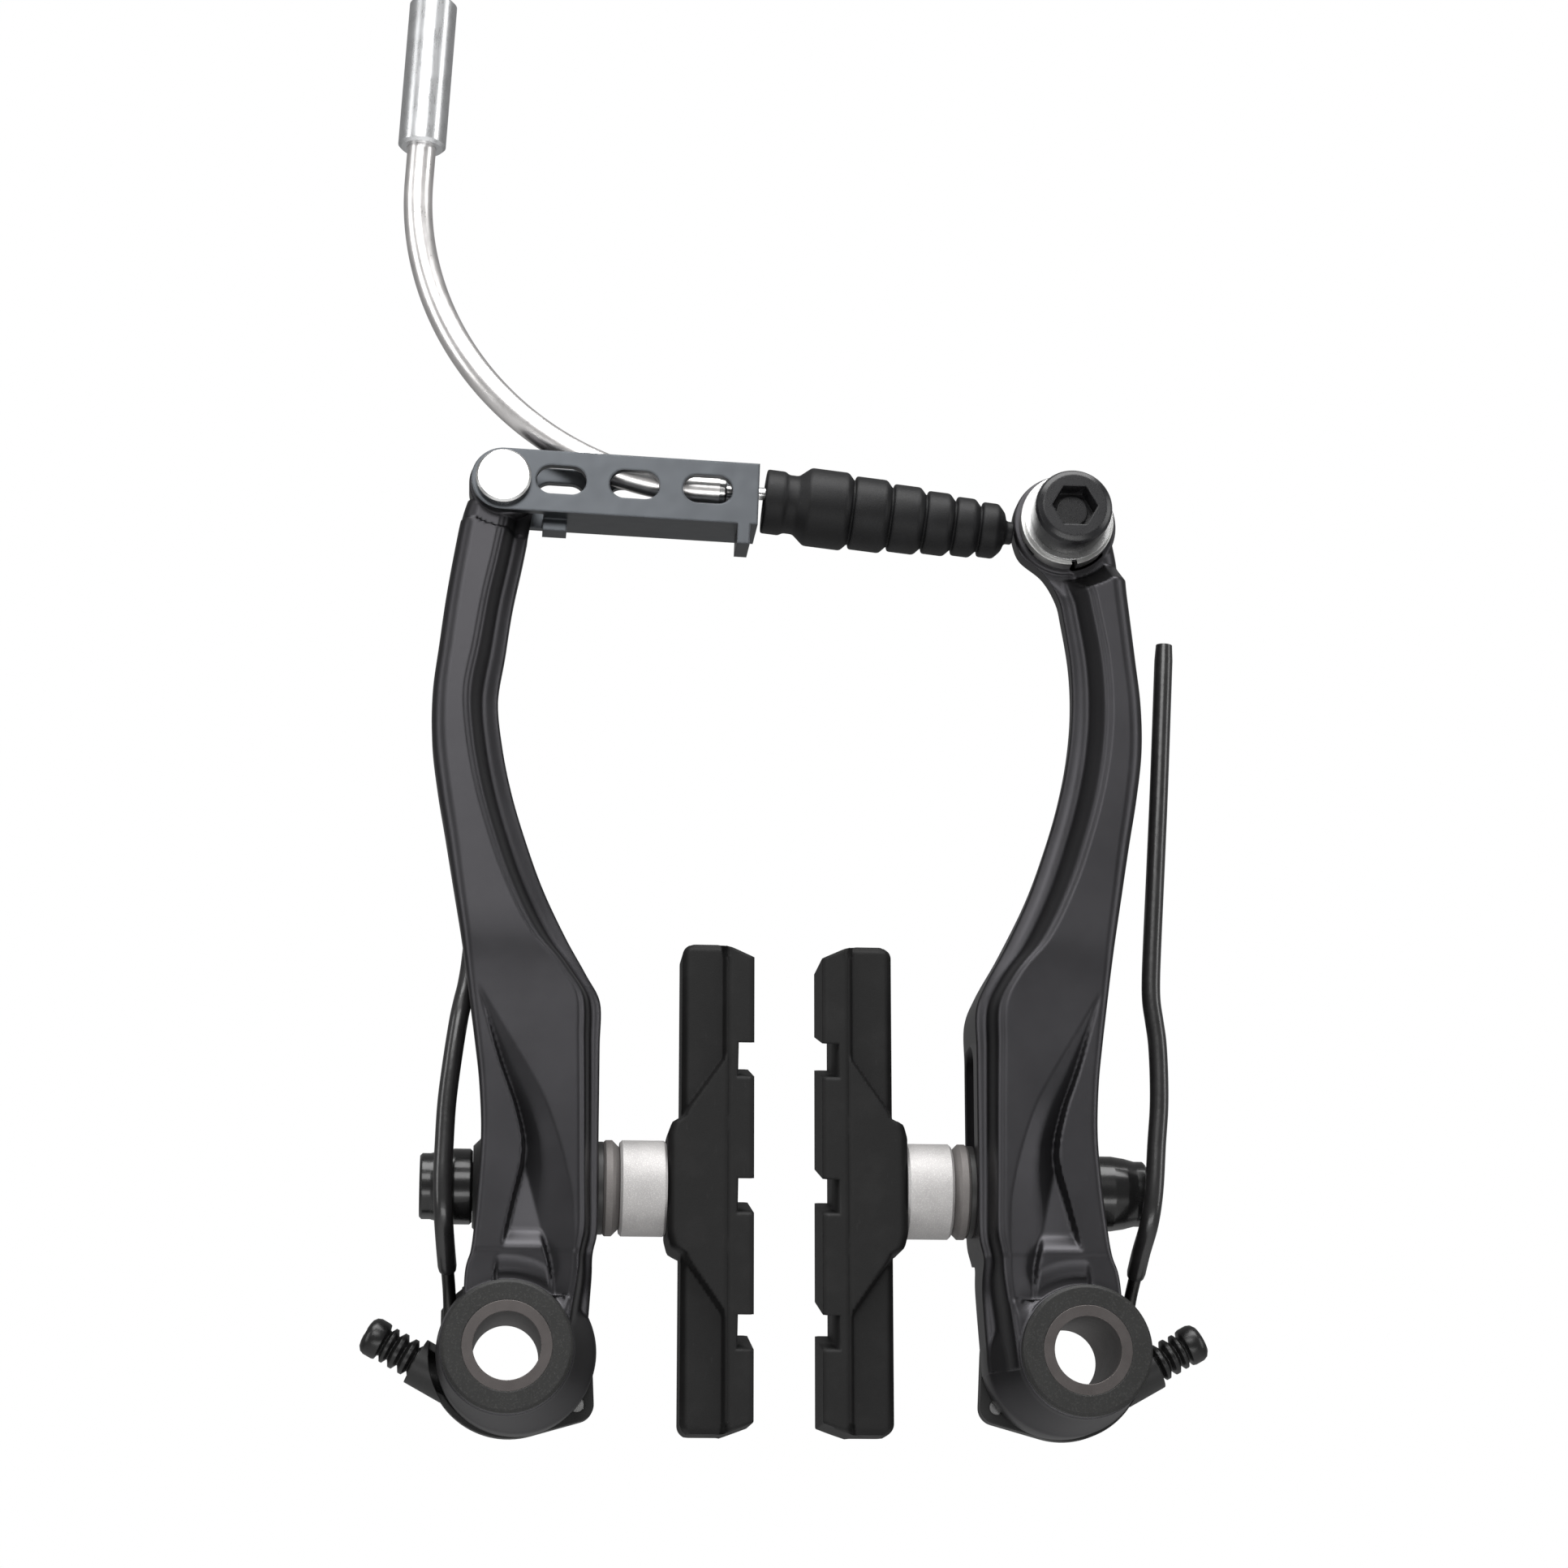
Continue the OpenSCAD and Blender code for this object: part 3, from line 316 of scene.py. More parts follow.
# Point of the route where the sleeve starts, and steps between the route's points
COVER_START = 3
ROUTE_STEPS = 6
# Two places by the legs: out, depth, height. MakeSprings works out their places for each spring
# but does not use them
BEND_FROM = (7.0, 2.0, 2.0)
BEND_TO = (7.0, 2.0, 14.0)

# Pad, measured from its back towards the rim and up from its post
PAD_BACK = 21.48
PAD_T = 8.75
PAD_W = 11.0
PAD_HALF = 29.8
PAD_BULGE = 1.7
PAD_CORNER = 1.3
BULGE_HEIGHTS = [5.9, 7.5, 8.3]
RECESS_DEPTH = 1.5
RECESS_LOW = 8.2
RECESS_RISE = 8.0
RECESS_REACH = 5.6
GROOVE_AT = 5.55
GROOVE_DEPTH = 0.22
GROOVE_HALF = 0.16
POST_R = 2.97
CUT_HEIGHTS = (15.2, -1.45, -17.85)
CUT_W = 4.2
CUT_DEPTH = 1.6
CUT_SLOPE = 14.0

# Boot and lead pipe
BOOT_START = (-4.0, -13.6, 106.35)
BOOT_SLOPE = 6.15
BOOT_PROFILE = [
    (1.95, 0.0), (4.05, 0.0), (4.05, 2.32), (3.7, 2.8), (3.7, 4.06),
    (4.95, 5.55), (4.95, 10.24), (3.95, 11.16), (4.65, 11.25), (4.65, 15.17), (3.65, 16.08),
    (4.3, 16.18), (4.3, 19.51), (3.3, 20.43), (4.0, 20.53), (4.0, 23.28), (3.0, 24.2),
    (3.75, 24.29), (3.75, 26.56), (2.75, 27.48), (3.5, 27.58), (3.5, 29.56), (2.5, 30.48),
    (1.45, 30.82), (1.45, 31.78), (0.8, 31.78), (0.8, 4.6), (1.95, 3.6),
]
LINK_SLOPE = 2.1
LINK_MID = 13.6
PIPE_START = 27.1
PIPE_X = 25.3
PIPE_RISE = 1.4
PIPE_BEND = 90.9
PIPE_BEND_R = 38.3
PIPE_TOP = 12.75
PIPE_R = 1.825
PIPE_BORE_R = 1.15

# Tension screw: radius and distance along its axis
SCREW_SLOPE = 29.0
SCREW_PLACE = (10.8, 2.2, -0.5)
CROSS_ENDS = (5.9, 8.0)
CROSS_LONG = 1.4
CROSS_WIDE = 0.36
SCREW_PROFILE = [
    (0.01, -1.0), (1.6, -1.0), (1.95, -0.7), (1.95, 0.15), (1.6, 0.4), (2.3, 0.8), (2.3, 1.25),
    (1.6, 1.7), (1.6, 1.8), (2.3, 2.2), (2.3, 2.65), (1.6, 3.1), (1.6, 3.2), (2.25, 3.55),
    (2.25, 3.9), (1.65, 4.25), (1.75, 4.45), (2.3, 4.6), (2.4, 4.9), (2.4, 6.0), (2.2, 6.5),
    (1.75, 6.85), (1.2, 6.98), (0.01, 7.0),
]

# Where the camera looks, in millimetres, and the floor, in metres
LOOK_AT = (-1.114, -10.0, 70.536)
SENSOR_WIDTH = 36.0
FLOOR_Z = -0.6
FLOOR_HALF = 3.0
# Lamps, in metres: name, place, aim, its power among the studio's settings, width, height
LAMPS = (
    ("lamp_top", (0.0, -0.30, 0.80), (0, 0, 0.06), "key_power", 1.0, 0.5),
    ("lamp_front", (-0.16, -0.90, 0.48), (0, 0, 0.06), "fill_power", 0.56, 0.34),
    ("lamp_low", (0.0, -0.62, -0.34), (0, 0, 0.0), "low_power", 0.7, 0.16),
    ("lamp_left", (-0.85, -0.35, 0.20), (0, 0, 0.06), "side_power", 0.25, 0.7),
    ("lamp_right", (0.85, -0.35, 0.20), (0, 0, 0.06), "side_power", 0.25, 0.7),
)
# A turned profile starts this near its axis
AXIS_R = 0.01


# Surfaces
def column(values):
    return values[:, None]


def row(*values):
    return np.array(values)[None, :]


def add(name, data):
    """An object in the scene for a mesh, lamp or camera."""
    made = bpy.data.objects.new(name, data)
    bpy.context.scene.collection.objects.link(made)
    return made


def smooth_path(points, steps):
    """Catmull-Rom curve through the points, with steps between neighbours."""
    points = np.asarray(points, float)
    padded = np.vstack([points[:1], points, points[-1:]])
    t = (np.arange(steps) / steps)[:, None]
    parts = [0.5 * (2 * b + (c - a) * t + (2 * a - 5 * b + 4 * c - d) * t ** 2
                    + (3 * b - a - 3 * c + d) * t ** 3)
             for a, b, c, d in zip(padded, padded[1:], padded[2:], padded[3:])]
    return np.vstack(parts + [points[-1:]])


def columns_at(rows, heights):
    """Values of a table at many heights, along a smooth curve through its rows."""
    dense = smooth_path(rows, 8)
    return [np.interp(heights, dense[:, 0], dense[:, k]) for k in range(1, dense.shape[1])]


def smoothstep(low, high, values):
    t = np.clip((values - low) / (high - low), 0.0, 1.0)
    return t * t * (3 - 2 * t)


def surface(name, grid, wrap_rows=False, sharp=38.0):
    """Closed mesh from a grid of points in millimetres, rows by columns, where the columns
    run round and meet. Without wrap_rows each end is closed by a fan to its middle."""
    rows, columns = grid.shape[:2]
    points = grid.reshape(-1, 3)
    i = np.arange(rows if wrap_rows else rows - 1)[:, None]
    j = np.arange(columns)[None, :]
    here = i * columns + j
    beside = i * columns + (j + 1) % columns
    above = ((i + 1) % rows) * columns + j
    across = ((i + 1) % rows) * columns + (j + 1) % columns
    quads = np.stack([here, beside, across, above], axis=-1).reshape(-1, 4)
    faces = quads.tolist()
    if not wrap_rows:
        points = np.vstack([points, grid[0].mean(axis=0), grid[-1].mean(axis=0)])
        ring = np.arange(columns)
        low = np.full(columns, rows * columns)
        first = np.stack([low, np.roll(ring, -1), ring], axis=-1)
        top = ring + (rows - 1) * columns
        last = np.stack([low + 1, top, np.roll(top, -1)], axis=-1)
        faces += first.tolist() + last.tolist()
    quad = points[quads]
    volume = np.einsum("ij,ij->", quad[:, 0], np.cross(quad[:, 1] - quad[:, 0],
                                                         quad[:, 2] - quad[:, 0]))
    volume += np.einsum("ij,ij->", quad[:, 0], np.cross(quad[:, 2] - quad[:, 0],
                                                          quad[:, 3] - quad[:, 0]))
    if volume < 0:
        faces = [face[::-1] for face in faces]
    mesh = bpy.data.meshes.new(name)
    mesh.from_pydata((points * MM).tolist(), [], faces)
    mesh.shade_smooth()
    mesh.set_sharp_from_angle(angle=math.radians(sharp))
    return add(name, mesh)


def joined(name, pieces):
    """One object from several shells."""
    with bpy.context.temp_override(active_object=pieces[0], object=pieces[0],
                                   selected_editable_objects=pieces):
        bpy.ops.object.join()
    pieces[0].name = name
    pieces[0].data.name = name
    return pieces[0]


def cut(piece, cutter):
    """Takes the cutter's shape out of the piece and deletes the cutter."""
    change = piece.modifiers.new("cut", "BOOLEAN")
    change.operation = "DIFFERENCE"
    change.solver = "EXACT"
    change.object = cutter
    with bpy.context.temp_override(object=piece, active_object=piece):
        bpy.ops.object.modifier_apply(modifier="cut")
    bpy.data.objects.remove(cutter)
    return piece


def rings_along(path, radius, sides):
    """Rings round a path: each is its point plus the radius times the cosine and sine along
    two directions square to the path. The radius may change on the way."""
    path = np.asarray(path, float)
    heading = np.gradient(path, axis=0)
    heading /= np.linalg.norm(heading, axis=1)[:, None]
    side = np.cross(heading, [0.0, 1.0, 0.0])
    side /= np.linalg.norm(side, axis=1)[:, None]
    up = np.cross(side, heading)
    turn = np.linspace(0, 2 * np.pi, sides, endpoint=False)[None, :, None]
    radius = np.broadcast_to(radius, len(path))[:, None, None]
    return path[:, None] + radius * (np.cos(turn) * side[:, None] + np.sin(turn) * up[:, None])


def sweep(name, path, radius, sides=20):
    """Round bar along a path, from its rings."""
    return surface(name, rings_along(path, radius, sides))


def tube(name, path, outer, inner, sides=48):
    """Round tube along a path: the outer rings forwards, then the inner rings back."""
    grid = np.concatenate([rings_along(path, outer, sides),
                           rings_along(path, inner, sides)[::-1]])
    return surface(name, grid, wrap_rows=True)


def block(name, centres, across, upwards):
    """Straight-sided bar between two centres, with its half sizes across and upwards."""
    corners = np.stack([across + upwards, across - upwards, -across - upwards,
                        upwards - across], axis=1)
    return surface(name, np.asarray(centres, float)[:, None] + corners)


def lathe(name, profile, origin, axis, sides=48, ring=False, sharp=38.0):
    """Profile of radius and distance along the axis, turned round the axis. A ring's profile
    is closed, and any other starts and ends near the axis."""
    profile = np.asarray(profile, float)
    axis = np.asarray(axis, float) / np.linalg.norm(axis)
    helper = np.array([0.0, 0.0, 1.0]) if abs(axis[2]) < 0.9 else np.array([0.0, 1.0, 0.0])
    side = np.cross(axis, helper)
    side /= np.linalg.norm(side)
    up = np.cross(axis, side)
    turn = np.linspace(0, 2 * np.pi, sides, endpoint=False)[None, :, None]
    grid = (np.asarray(origin, float) + profile[:, 1, None, None] * axis
            + profile[:, 0, None, None] * (np.cos(turn) * side + np.sin(turn) * up))
    return surface(name, grid, wrap_rows=ring, sharp=sharp)


def rod(name, radius, length, origin, axis):
    """Solid cylinder, to cut with."""
    profile = [(AXIS_R, 0.0), (radius, 0.0), (radius, length), (AXIS_R, length)]
    return lathe(name, profile, origin, axis)


def rounded(profile, radius):
    """Corners of a closed profile turned into short curves of about the radius."""
    points = np.asarray(profile, float)
    out = []
    for k, point in enumerate(points):
        before, after = points[k - 1] - point, points[(k + 1) % len(points)] - point
        a = point + before * min(0.45, radius / max(np.linalg.norm(before), 1e-6))
        b = point + after * min(0.45, radius / max(np.linalg.norm(after), 1e-6))
        for t in np.linspace(0, 1, 4):
            out.append((1 - t) ** 2 * a + 2 * t * (1 - t) * point + t ** 2 * b)
    return np.array(out)


def to_world(side, out, depth, height):
    """Points of a side from out, depth and height."""
    sign = SIDES[side]
    out, depth, height = np.broadcast_arrays(out, depth, height)
    return np.stack([sign * (PIVOT + out), -depth, height], axis=-1)


def sway(side, heights):
    return -SIDES[side] * ARM_SWAY * (1 - np.exp(-np.asarray(heights, float) / 16))


# Arms
def relief(side, out, height):
    """Depth of the front relief below the face: the pocket between the rail and the ridge,
    with its triangular facet, and the room for the link or the clamp."""
    own = out - sway(side, height)
    rail = np.interp(height, *np.array(smooth_path(RAIL_LINE, 6)).T)
    ridge = np.interp(height, *np.array(smooth_path(RIDGE_LINE, 6)).T)
    facet = np.interp(height, *np.array(FACET_LINE).T)
    pocket = columns_at(POCKET_ROWS, height)[0]
    floor_line = np.where(height < FACET_TOP, facet, rail)
    slope = np.clip((own - ridge) / np.maximum(floor_line - ridge, 0.5), 0.0, 1.0)
    wall = smoothstep(0.0, 0.55, rail - own)
    on_facet = smoothstep(-0.2, 0.4, own - facet) * smoothstep(FACET_TOP, 21, height)
    reach = np.hypot(own, height)
    ramp = 1 - on_facet * smoothstep(14.2, 11.6, height)
    strip = 0.9 * on_facet * smoothstep(11.2, 8.4, reach)
    deep = (pocket * slope * ramp + strip) * wall * smoothstep(4.0, 6.5, height)
    deep = np.where(height < POCKET_TOP, deep, 0.0)
    if side == "left":
        room = np.hypot(out - RIVET_OUT, height - EYE_Z)
        round_eye = smoothstep(EYE_ROOM + 0.5, EYE_ROOM + 0.1, room)
        return np.maximum(deep, LINK_ROOM_DEPTH * round_eye)
    room = np.hypot(out - CLAMP_OUT, height - CLAMP_Z)
    scoop = np.clip((SCOOP_R + 0.3 - room) / (SCOOP_R - SCOOP_FOOT), 0.0, 1.0)
    return np.maximum(deep, (FACE_FRONT - HEAD_FACE) * scoop)


def blade(side):
    """Blade of an arm: a loft of cross-sections. Each goes round the rear wall, the inner
    flank, the front face less its relief, the rounded outer edge and the rail's rear."""
    low = np.concatenate([np.linspace(-2, 6.1, 14), np.linspace(6.2, 14, 30)])
    z = np.concatenate([low, np.linspace(14.2, 44, 110), np.linspace(44.4, 86, 60),
                        np.linspace(86.3, BLADE_TOP[side], 70)])
    outer, inner, wall = columns_at(BLADE_ROWS + TOP_ROWS[side], z)
    rear, rail, flank, front, inset, edge = columns_at(LEVEL_ROWS, z)
    shift = sway(side, z)
    seat = float(sway(side, POST_HEIGHT))
    even = seat + (shift - seat) * smoothstep(42, 46, z)
    outer = outer + shift
    inner = even - inner
    wall = wall + even
    hidden = z < HIDDEN_TOP
    inside_ring = -np.sqrt(np.maximum(HIDDEN_R ** 2 - z ** 2, 4.0))
    outer = np.where(hidden, inside_ring, outer)
    wall = np.where(hidden, inside_ring - 0.3, wall)
    if side == "left":
        rear = np.where(z > 101.2, EYE_REAR, rear)
        rail = np.maximum(rail, rear + 0.15)

    across = np.linspace(0, 1, 64)[None, :]
    face_in, face_out = inner + inset, outer - edge
    face = column(face_in) + column(face_out - face_in) * across
    face_depth = column(front) - relief(side, face, column(z))
    # rounding at both ends of the face
    face_depth = face_depth - 0.35 * (1 - smoothstep(0, 0.7, face - column(face_in)))

    flank_out = column(inner) + column(inset) * row(0.0, 0.08, 0.30, 0.50, 0.58, 0.72, 0.88)
    rise = row(0.0, 0.06, 0.10, 0.14, 0.24, 0.62, 0.93)
    flank_depth = column(flank) + column(face_depth[:, 0] - flank) * rise
    steps = row(0.0, 0.5, 0.97)
    wall_in = column(inner) + 0 * steps
    wall_depth = column(rear) + column(flank - rear) * steps
    turn = row(0.3, 0.6, 0.85, 1.0) * math.pi / 2
    edge_out = column(face_out) + column(edge) * np.sin(turn)
    edge_depth = column(face_depth[:, -1]) - 1.1 * column(edge) * (1 - np.cos(turn))
    last = edge_depth[:, -1]
    down = row(0.3, 0.7, 0.97, 1.0)
    side_out = column(outer) - row(0.0, 0.0, 0.1, 0.3)
    side_depth = column(last) + column(np.minimum(rail - last, -0.05)) * down
    under = row(0.35, 0.7, 1.0)
    under_out = column(outer - 0.3) + column(wall - outer + 0.3) * under
    under_depth = column(rail) + 0 * under
    back = row(0.4, 0.8, 1.0)
    back_out = column(wall) + 0 * back
    back_depth = column(rail) + column(rear - rail) * back
    bottom = row(0.33, 0.66)
    bottom_out = column(wall) + column(inner - wall) * bottom
    bottom_depth = column(rear) + 0 * bottom
    out = np.hstack([wall_in, flank_out, face, edge_out, side_out, under_out, back_out,
                     bottom_out])
    depth = np.hstack([wall_depth, flank_depth, face_depth, edge_depth, side_depth,
                       under_depth, back_depth, bottom_depth])
    piece = surface(side + "_blade", to_world(side, out, depth, column(z)), sharp=50.0)
    cut(piece, slot_cutter(side))
    if side == "right":
        origin = to_world(side, CLAMP_OUT, 0.0, CLAMP_Z)
        cut(piece, rod("clamp_bore", CLAMP_BORE, 30, origin, (0, -1, 0)))
    return piece


def slot_cutter(side):
    """Long round-ended bar along X in the place of the post's slot."""
    turn = np.linspace(0, 2 * np.pi, 48, endpoint=False)
    high = np.where(np.sin(turn) > 0, SLOT_TRAVEL, 0.0)
    outline = np.stack([POST_DEPTH + SLOT_R * np.cos(turn),
                        POST_HEIGHT + high + SLOT_R * np.sin(turn)], axis=-1)
    out = np.array([-20.0, 20.0])[:, None]
    return surface(side + "_slot", to_world(side, out, outline[None, :, 0], outline[None, :, 1]))


def boss(side):
    """Ring round the pivot that widens rearwards to the shifted heel: the radius and the
    centre change evenly between the two circles, then the bore leads back."""
    profile = [(SLEEVE_R + 0.05, HEEL_REAR, 0.0), (HEEL_R - 0.5, HEEL_REAR, 1.0),
               (HEEL_R - 0.12, HEEL_REAR + 0.15, 1.0), (HEEL_R, HEEL_REAR + 0.5, 1.0),
               (HEEL_R, HEEL_DEPTH, 1.0)]
    for t in (0.06, 0.14, 0.3, 0.5, 0.7, 0.85, 0.95, 1.0):
        profile.append((HEEL_R + (BOSS_R - HEEL_R) * t ** 0.85,
                        HEEL_DEPTH + (15.1 - HEEL_DEPTH) * t, 1 - t))
    profile += [(BOSS_R, BOSS_FRONT - 0.25, 0.0), (BOSS_R - 0.08, BOSS_FRONT - 0.08, 0.0),
                (BOSS_R - 0.25, BOSS_FRONT, 0.0), (SLEEVE_R + 0.05, BOSS_FRONT, 0.0)]
    radius, depth, shift = np.array(profile).T[:, :, None]
    turn = np.linspace(0, 2 * np.pi, 128, endpoint=False)[None, :]
    out = radius * np.cos(turn) - HEEL_SHIFT * shift
    height = radius * np.sin(turn)
    return surface(side + "_boss", to_world(side, out, depth, height), wrap_rows=True)


def eye(side):
    """Ring at the top of an arm: the eye between the link's plates or the clamp's head."""
    if side == "left":
        out, height, bore = RIVET_OUT, EYE_Z, RIVET_BORE
        profile = [(bore, EYE_REAR), (EYE_R, EYE_REAR), (EYE_R, EYE_FRONT - 0.05),
                   (bore, EYE_FRONT - 0.05)]
    else:
        out, height, bore = CLAMP_OUT, CLAMP_Z, CLAMP_BORE
        profile = [(bore, HEAD_REAR), (HEAD_R - 1.4, HEAD_REAR), (HEAD_R, HEAD_REAR + 4.4),
                   (HEAD_R, HEAD_FACE), (bore, HEAD_FACE)]
    origin = to_world(side, out, 0.0, height)
    return lathe(side + "_eye", rounded(profile, 0.4), origin, (0, -1, 0),
                 sides=96, ring=True)


class MakeArms(bpy.types.Operator):
    """Makes both arms with their relief, rails and rounded edges"""

    bl_idname = "brake.make_arms"
    bl_label = "Arms"

    def execute(self, context):
        finish = arm_finish()
        for side in SIDES:
            arm = joined(side + "_arm_formed", [blade(side), boss(side), eye(side)])
            dress(finish, arm)
            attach(arm, side + "_arm")
            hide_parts(side + "_arm")
        return {"FINISHED"}


# Springs
def spring_path(side):
    """Coil round the pivot, then the leg's route, in the frame's millimetres."""
    angle = np.radians(np.arange(COIL_START, 361.0, 4.0))
    coil = np.stack([COIL_R * np.cos(angle), np.full(angle.size, COIL_DEPTH),
                     COIL_R * np.sin(angle)], axis=-1)
    leg = smooth_path(SPRING_ROUTES[side], ROUTE_STEPS)
    lead = smooth_path(np.vstack([coil[-4:], leg[:1]]), 4)[-5:-1]
    route = np.vstack([coil, lead[1:], leg])
    return to_world(side, route[:, 0], route[:, 1], route[:, 2]), len(coil) + len(lead) - 1


class MakeSprings(bpy.types.Operator):
    """Makes the two wire springs and the glossy sleeves on their legs"""

    bl_idname = "brake.make_springs"
    bl_label = "Springs"

    def execute(self, context):
        steel = spring_finish()
        cover = cover_finish()
        for side in SIDES:
            path, leg_start = spring_path(side)
            wire = sweep(side + "_spring_wire", path, WIRE_R)
            covered = path[leg_start + COVER_START * ROUTE_STEPS:]
            radius = np.full(len(covered), COVER_R)
            radius[0] -= 0.1
            radius[-1] -= 0.12
            sleeve = sweep(side + "_spring_cover", covered, radius, 28)
            start = to_world(side, *BEND_FROM) * MM
            end = to_world(side, *BEND_TO) * MM
            for piece, node, finish in ((wire, "_return_spring", steel),
                                        (sleeve, "_spring_sleeve", cover)):
                dress(finish, piece)
                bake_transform(piece)
                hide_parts(side + node)
        return {"FINISHED"}


# Pads
def pad_cut(side, at):
    """Slanted bar for one cut across a pad's face. It goes deepest at the front edge."""
    shift = float(sway(side, POST_HEIGHT))
    tilt = math.radians(CUT_SLOPE)
    centres, reaches = [], []
    for along, deep in ((-2.0, 2.3), (5.0, CUT_DEPTH), (14.0, CUT_DEPTH)):
        inner = shift - PAD_BACK - PAD_T + deep
        outer = shift - PAD_BACK - PAD_T - 1.0
        centres.append([SIDES[side] * (PIVOT + (inner + outer) / 2),
                        -POST_DEPTH - PAD_W / 2 + along * math.cos(tilt),
                        POST_HEIGHT + at + along * math.sin(tilt)])
        reaches.append([(inner - outer) / 2, 0.0, 0.0])
    tall = CUT_W / 2 * math.cos(tilt) * np.array([0.0, -math.sin(tilt), math.cos(tilt)])
    return block("pad_cut", centres, np.array(reaches), tall[None, :])


def pad(side):
    """Pad: rows up its height go round the front, the rim face, the rear and the back. Its
    half width is less above and below the bulge, behind a slanted line."""
    half = PAD_HALF
    z = np.concatenate([np.linspace(-half, -half + 2, 12),
                        np.linspace(-half + 2.3, half - 2.3, 150),
                        np.linspace(half - 2, half, 12)])
    away = np.abs(z)
    near_end = np.clip(1 - (half - away) / PAD_CORNER, 0, 1)
    back = np.interp(away, BULGE_HEIGHTS, [-PAD_BULGE, -0.75 * PAD_BULGE, 0.0])
    back = back + PAD_CORNER * (1 - np.sqrt(1 - 0.8 * near_end ** 2)) + 0.1 * near_end
    face = np.interp(z, [-half, -half + 1.3, half - 1.8, half],
                     [PAD_T - 3.5, PAD_T, PAD_T, PAD_T - 4])
    steps = row(0, 0.02, 0.045, 0.08, *np.linspace(0.11, 0.95, 44), 0.965, 0.98, 0.99, 1.0)
    x = column(back) + column(face - back) * steps
    limit = RECESS_LOW + RECESS_RISE * np.clip(x / RECESS_REACH, 0, 1)
    low = smoothstep(5.35, 4.95, x) * smoothstep(-0.35, 0.35, column(away) - limit)
    groove = GROOVE_DEPTH * np.exp(-((x - GROOVE_AT) / GROOVE_HALF) ** 2)
    width = PAD_W / 2 - RECESS_DEPTH * low - groove
    width -= 0.8 * smoothstep(0.9, 0.0, x - column(back)) ** 2
    width -= 0.3 * smoothstep(0.5, 0.0, column(face) - x)
    width -= 0.5 * column(smoothstep(0.8, 0.0, half - away))
    middle = row(0.5, 0.0, -0.5)
    face_x, back_x = (np.repeat(column(edge), 3, axis=1) for edge in (face, back))
    out = np.hstack([x, face_x, x[:, ::-1], back_x])
    depth = np.hstack([width, width[:, -1:] * middle, -width[:, ::-1], -width[:, :1] * middle])
    shift = float(sway(side, POST_HEIGHT))
    points = to_world(side, shift - PAD_BACK - out, POST_DEPTH + depth, POST_HEIGHT + column(z))
    piece = surface(side + "_pad_formed", points, sharp=45.0)
    for at in CUT_HEIGHTS:
        cut(piece, pad_cut(side, at))
    origin = to_world(side, shift - PAD_BACK + PAD_BULGE + 1.0, POST_DEPTH, POST_HEIGHT)
    return cut(piece, rod("post_hole", POST_R, 5.02, origin, (-SIDES[side], 0, 0)))


class MakePads(bpy.types.Operator):
    """Makes the two pads with their moulding line, recesses and slanted cuts"""

    bl_idname = "brake.make_pads"
    bl_label = "Pads"

    def execute(self, context):
        finish = rubber_finish("pad_rubber", tuple_of(colours().rubber), 0.50)
        for side in SIDES:
            piece = pad(side)
            dress(finish, piece)
            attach(piece, side + "_pad")
            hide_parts(side + "_pad")
        return {"FINISHED"}


# Turned and moulded pieces
def boot_shape():
    """Boot: its profile turned round an axis that slopes down away from the link."""
    slope = math.radians(BOOT_SLOPE)
    return lathe("boot_formed", rounded(BOOT_PROFILE, 0.32), BOOT_START,
                 (math.cos(slope), 0.0, -math.sin(slope)), sides=96, ring=True, sharp=60.0)


def pipe_shape():
    """Lead pipe: a short straight start, a bend that is a piece of a circle, and a straight
    end. The path lies in the link's own slanted axes, which start at the rivet."""
    turn = math.radians(LINK_SLOPE)
    bend = np.radians(np.linspace(0.0, PIPE_BEND, 91))
    over = math.radians(PIPE_BEND - 90)
    x = np.concatenate([[PIPE_START], PIPE_X - PIPE_BEND_R * np.sin(bend)])
    z = np.concatenate([[PIPE_RISE], PIPE_RISE + PIPE_BEND_R - PIPE_BEND_R * np.cos(bend)])
    end = np.linspace(1, PIPE_TOP, 8)
    x = np.concatenate([x, x[-1] + end * math.sin(over)])
    z = np.concatenate([z, z[-1] + end * math.cos(over)])
    path = np.stack([-PIVOT - RIVET_OUT + x * math.cos(turn) + z * math.sin(turn),
                     np.full(x.size, -LINK_MID),
                     EYE_Z - x * math.sin(turn) + z * math.cos(turn)], axis=-1)
    return tube("lead_pipe_formed", path, PIPE_R, PIPE_BORE_R)


def screw_shape(side):
    """Tension screw: its profile turned round the slanted axis, less a cross-recess."""
    sign, angle = SIDES[side], math.radians(SCREW_SLOPE)
    along = np.array([sign * math.cos(angle), 0.0, math.sin(angle)])
    beside = np.array([-sign * math.sin(angle), 0.0, math.cos(angle)])
    deep = np.array([0.0, 1.0, 0.0])
    start = to_world(side, *SCREW_PLACE)
    screw = lathe(side + "_tension_screw_formed", SCREW_PROFILE, start, along, sharp=50.0)
    centres = np.array([start + end * along for end in CROSS_ENDS])
    for first, second in ((beside, deep), (deep, beside)):
        cut(screw, block("cross", centres, CROSS_LONG * first[None, :],
                         CROSS_WIDE * second[None, :]))
    return screw


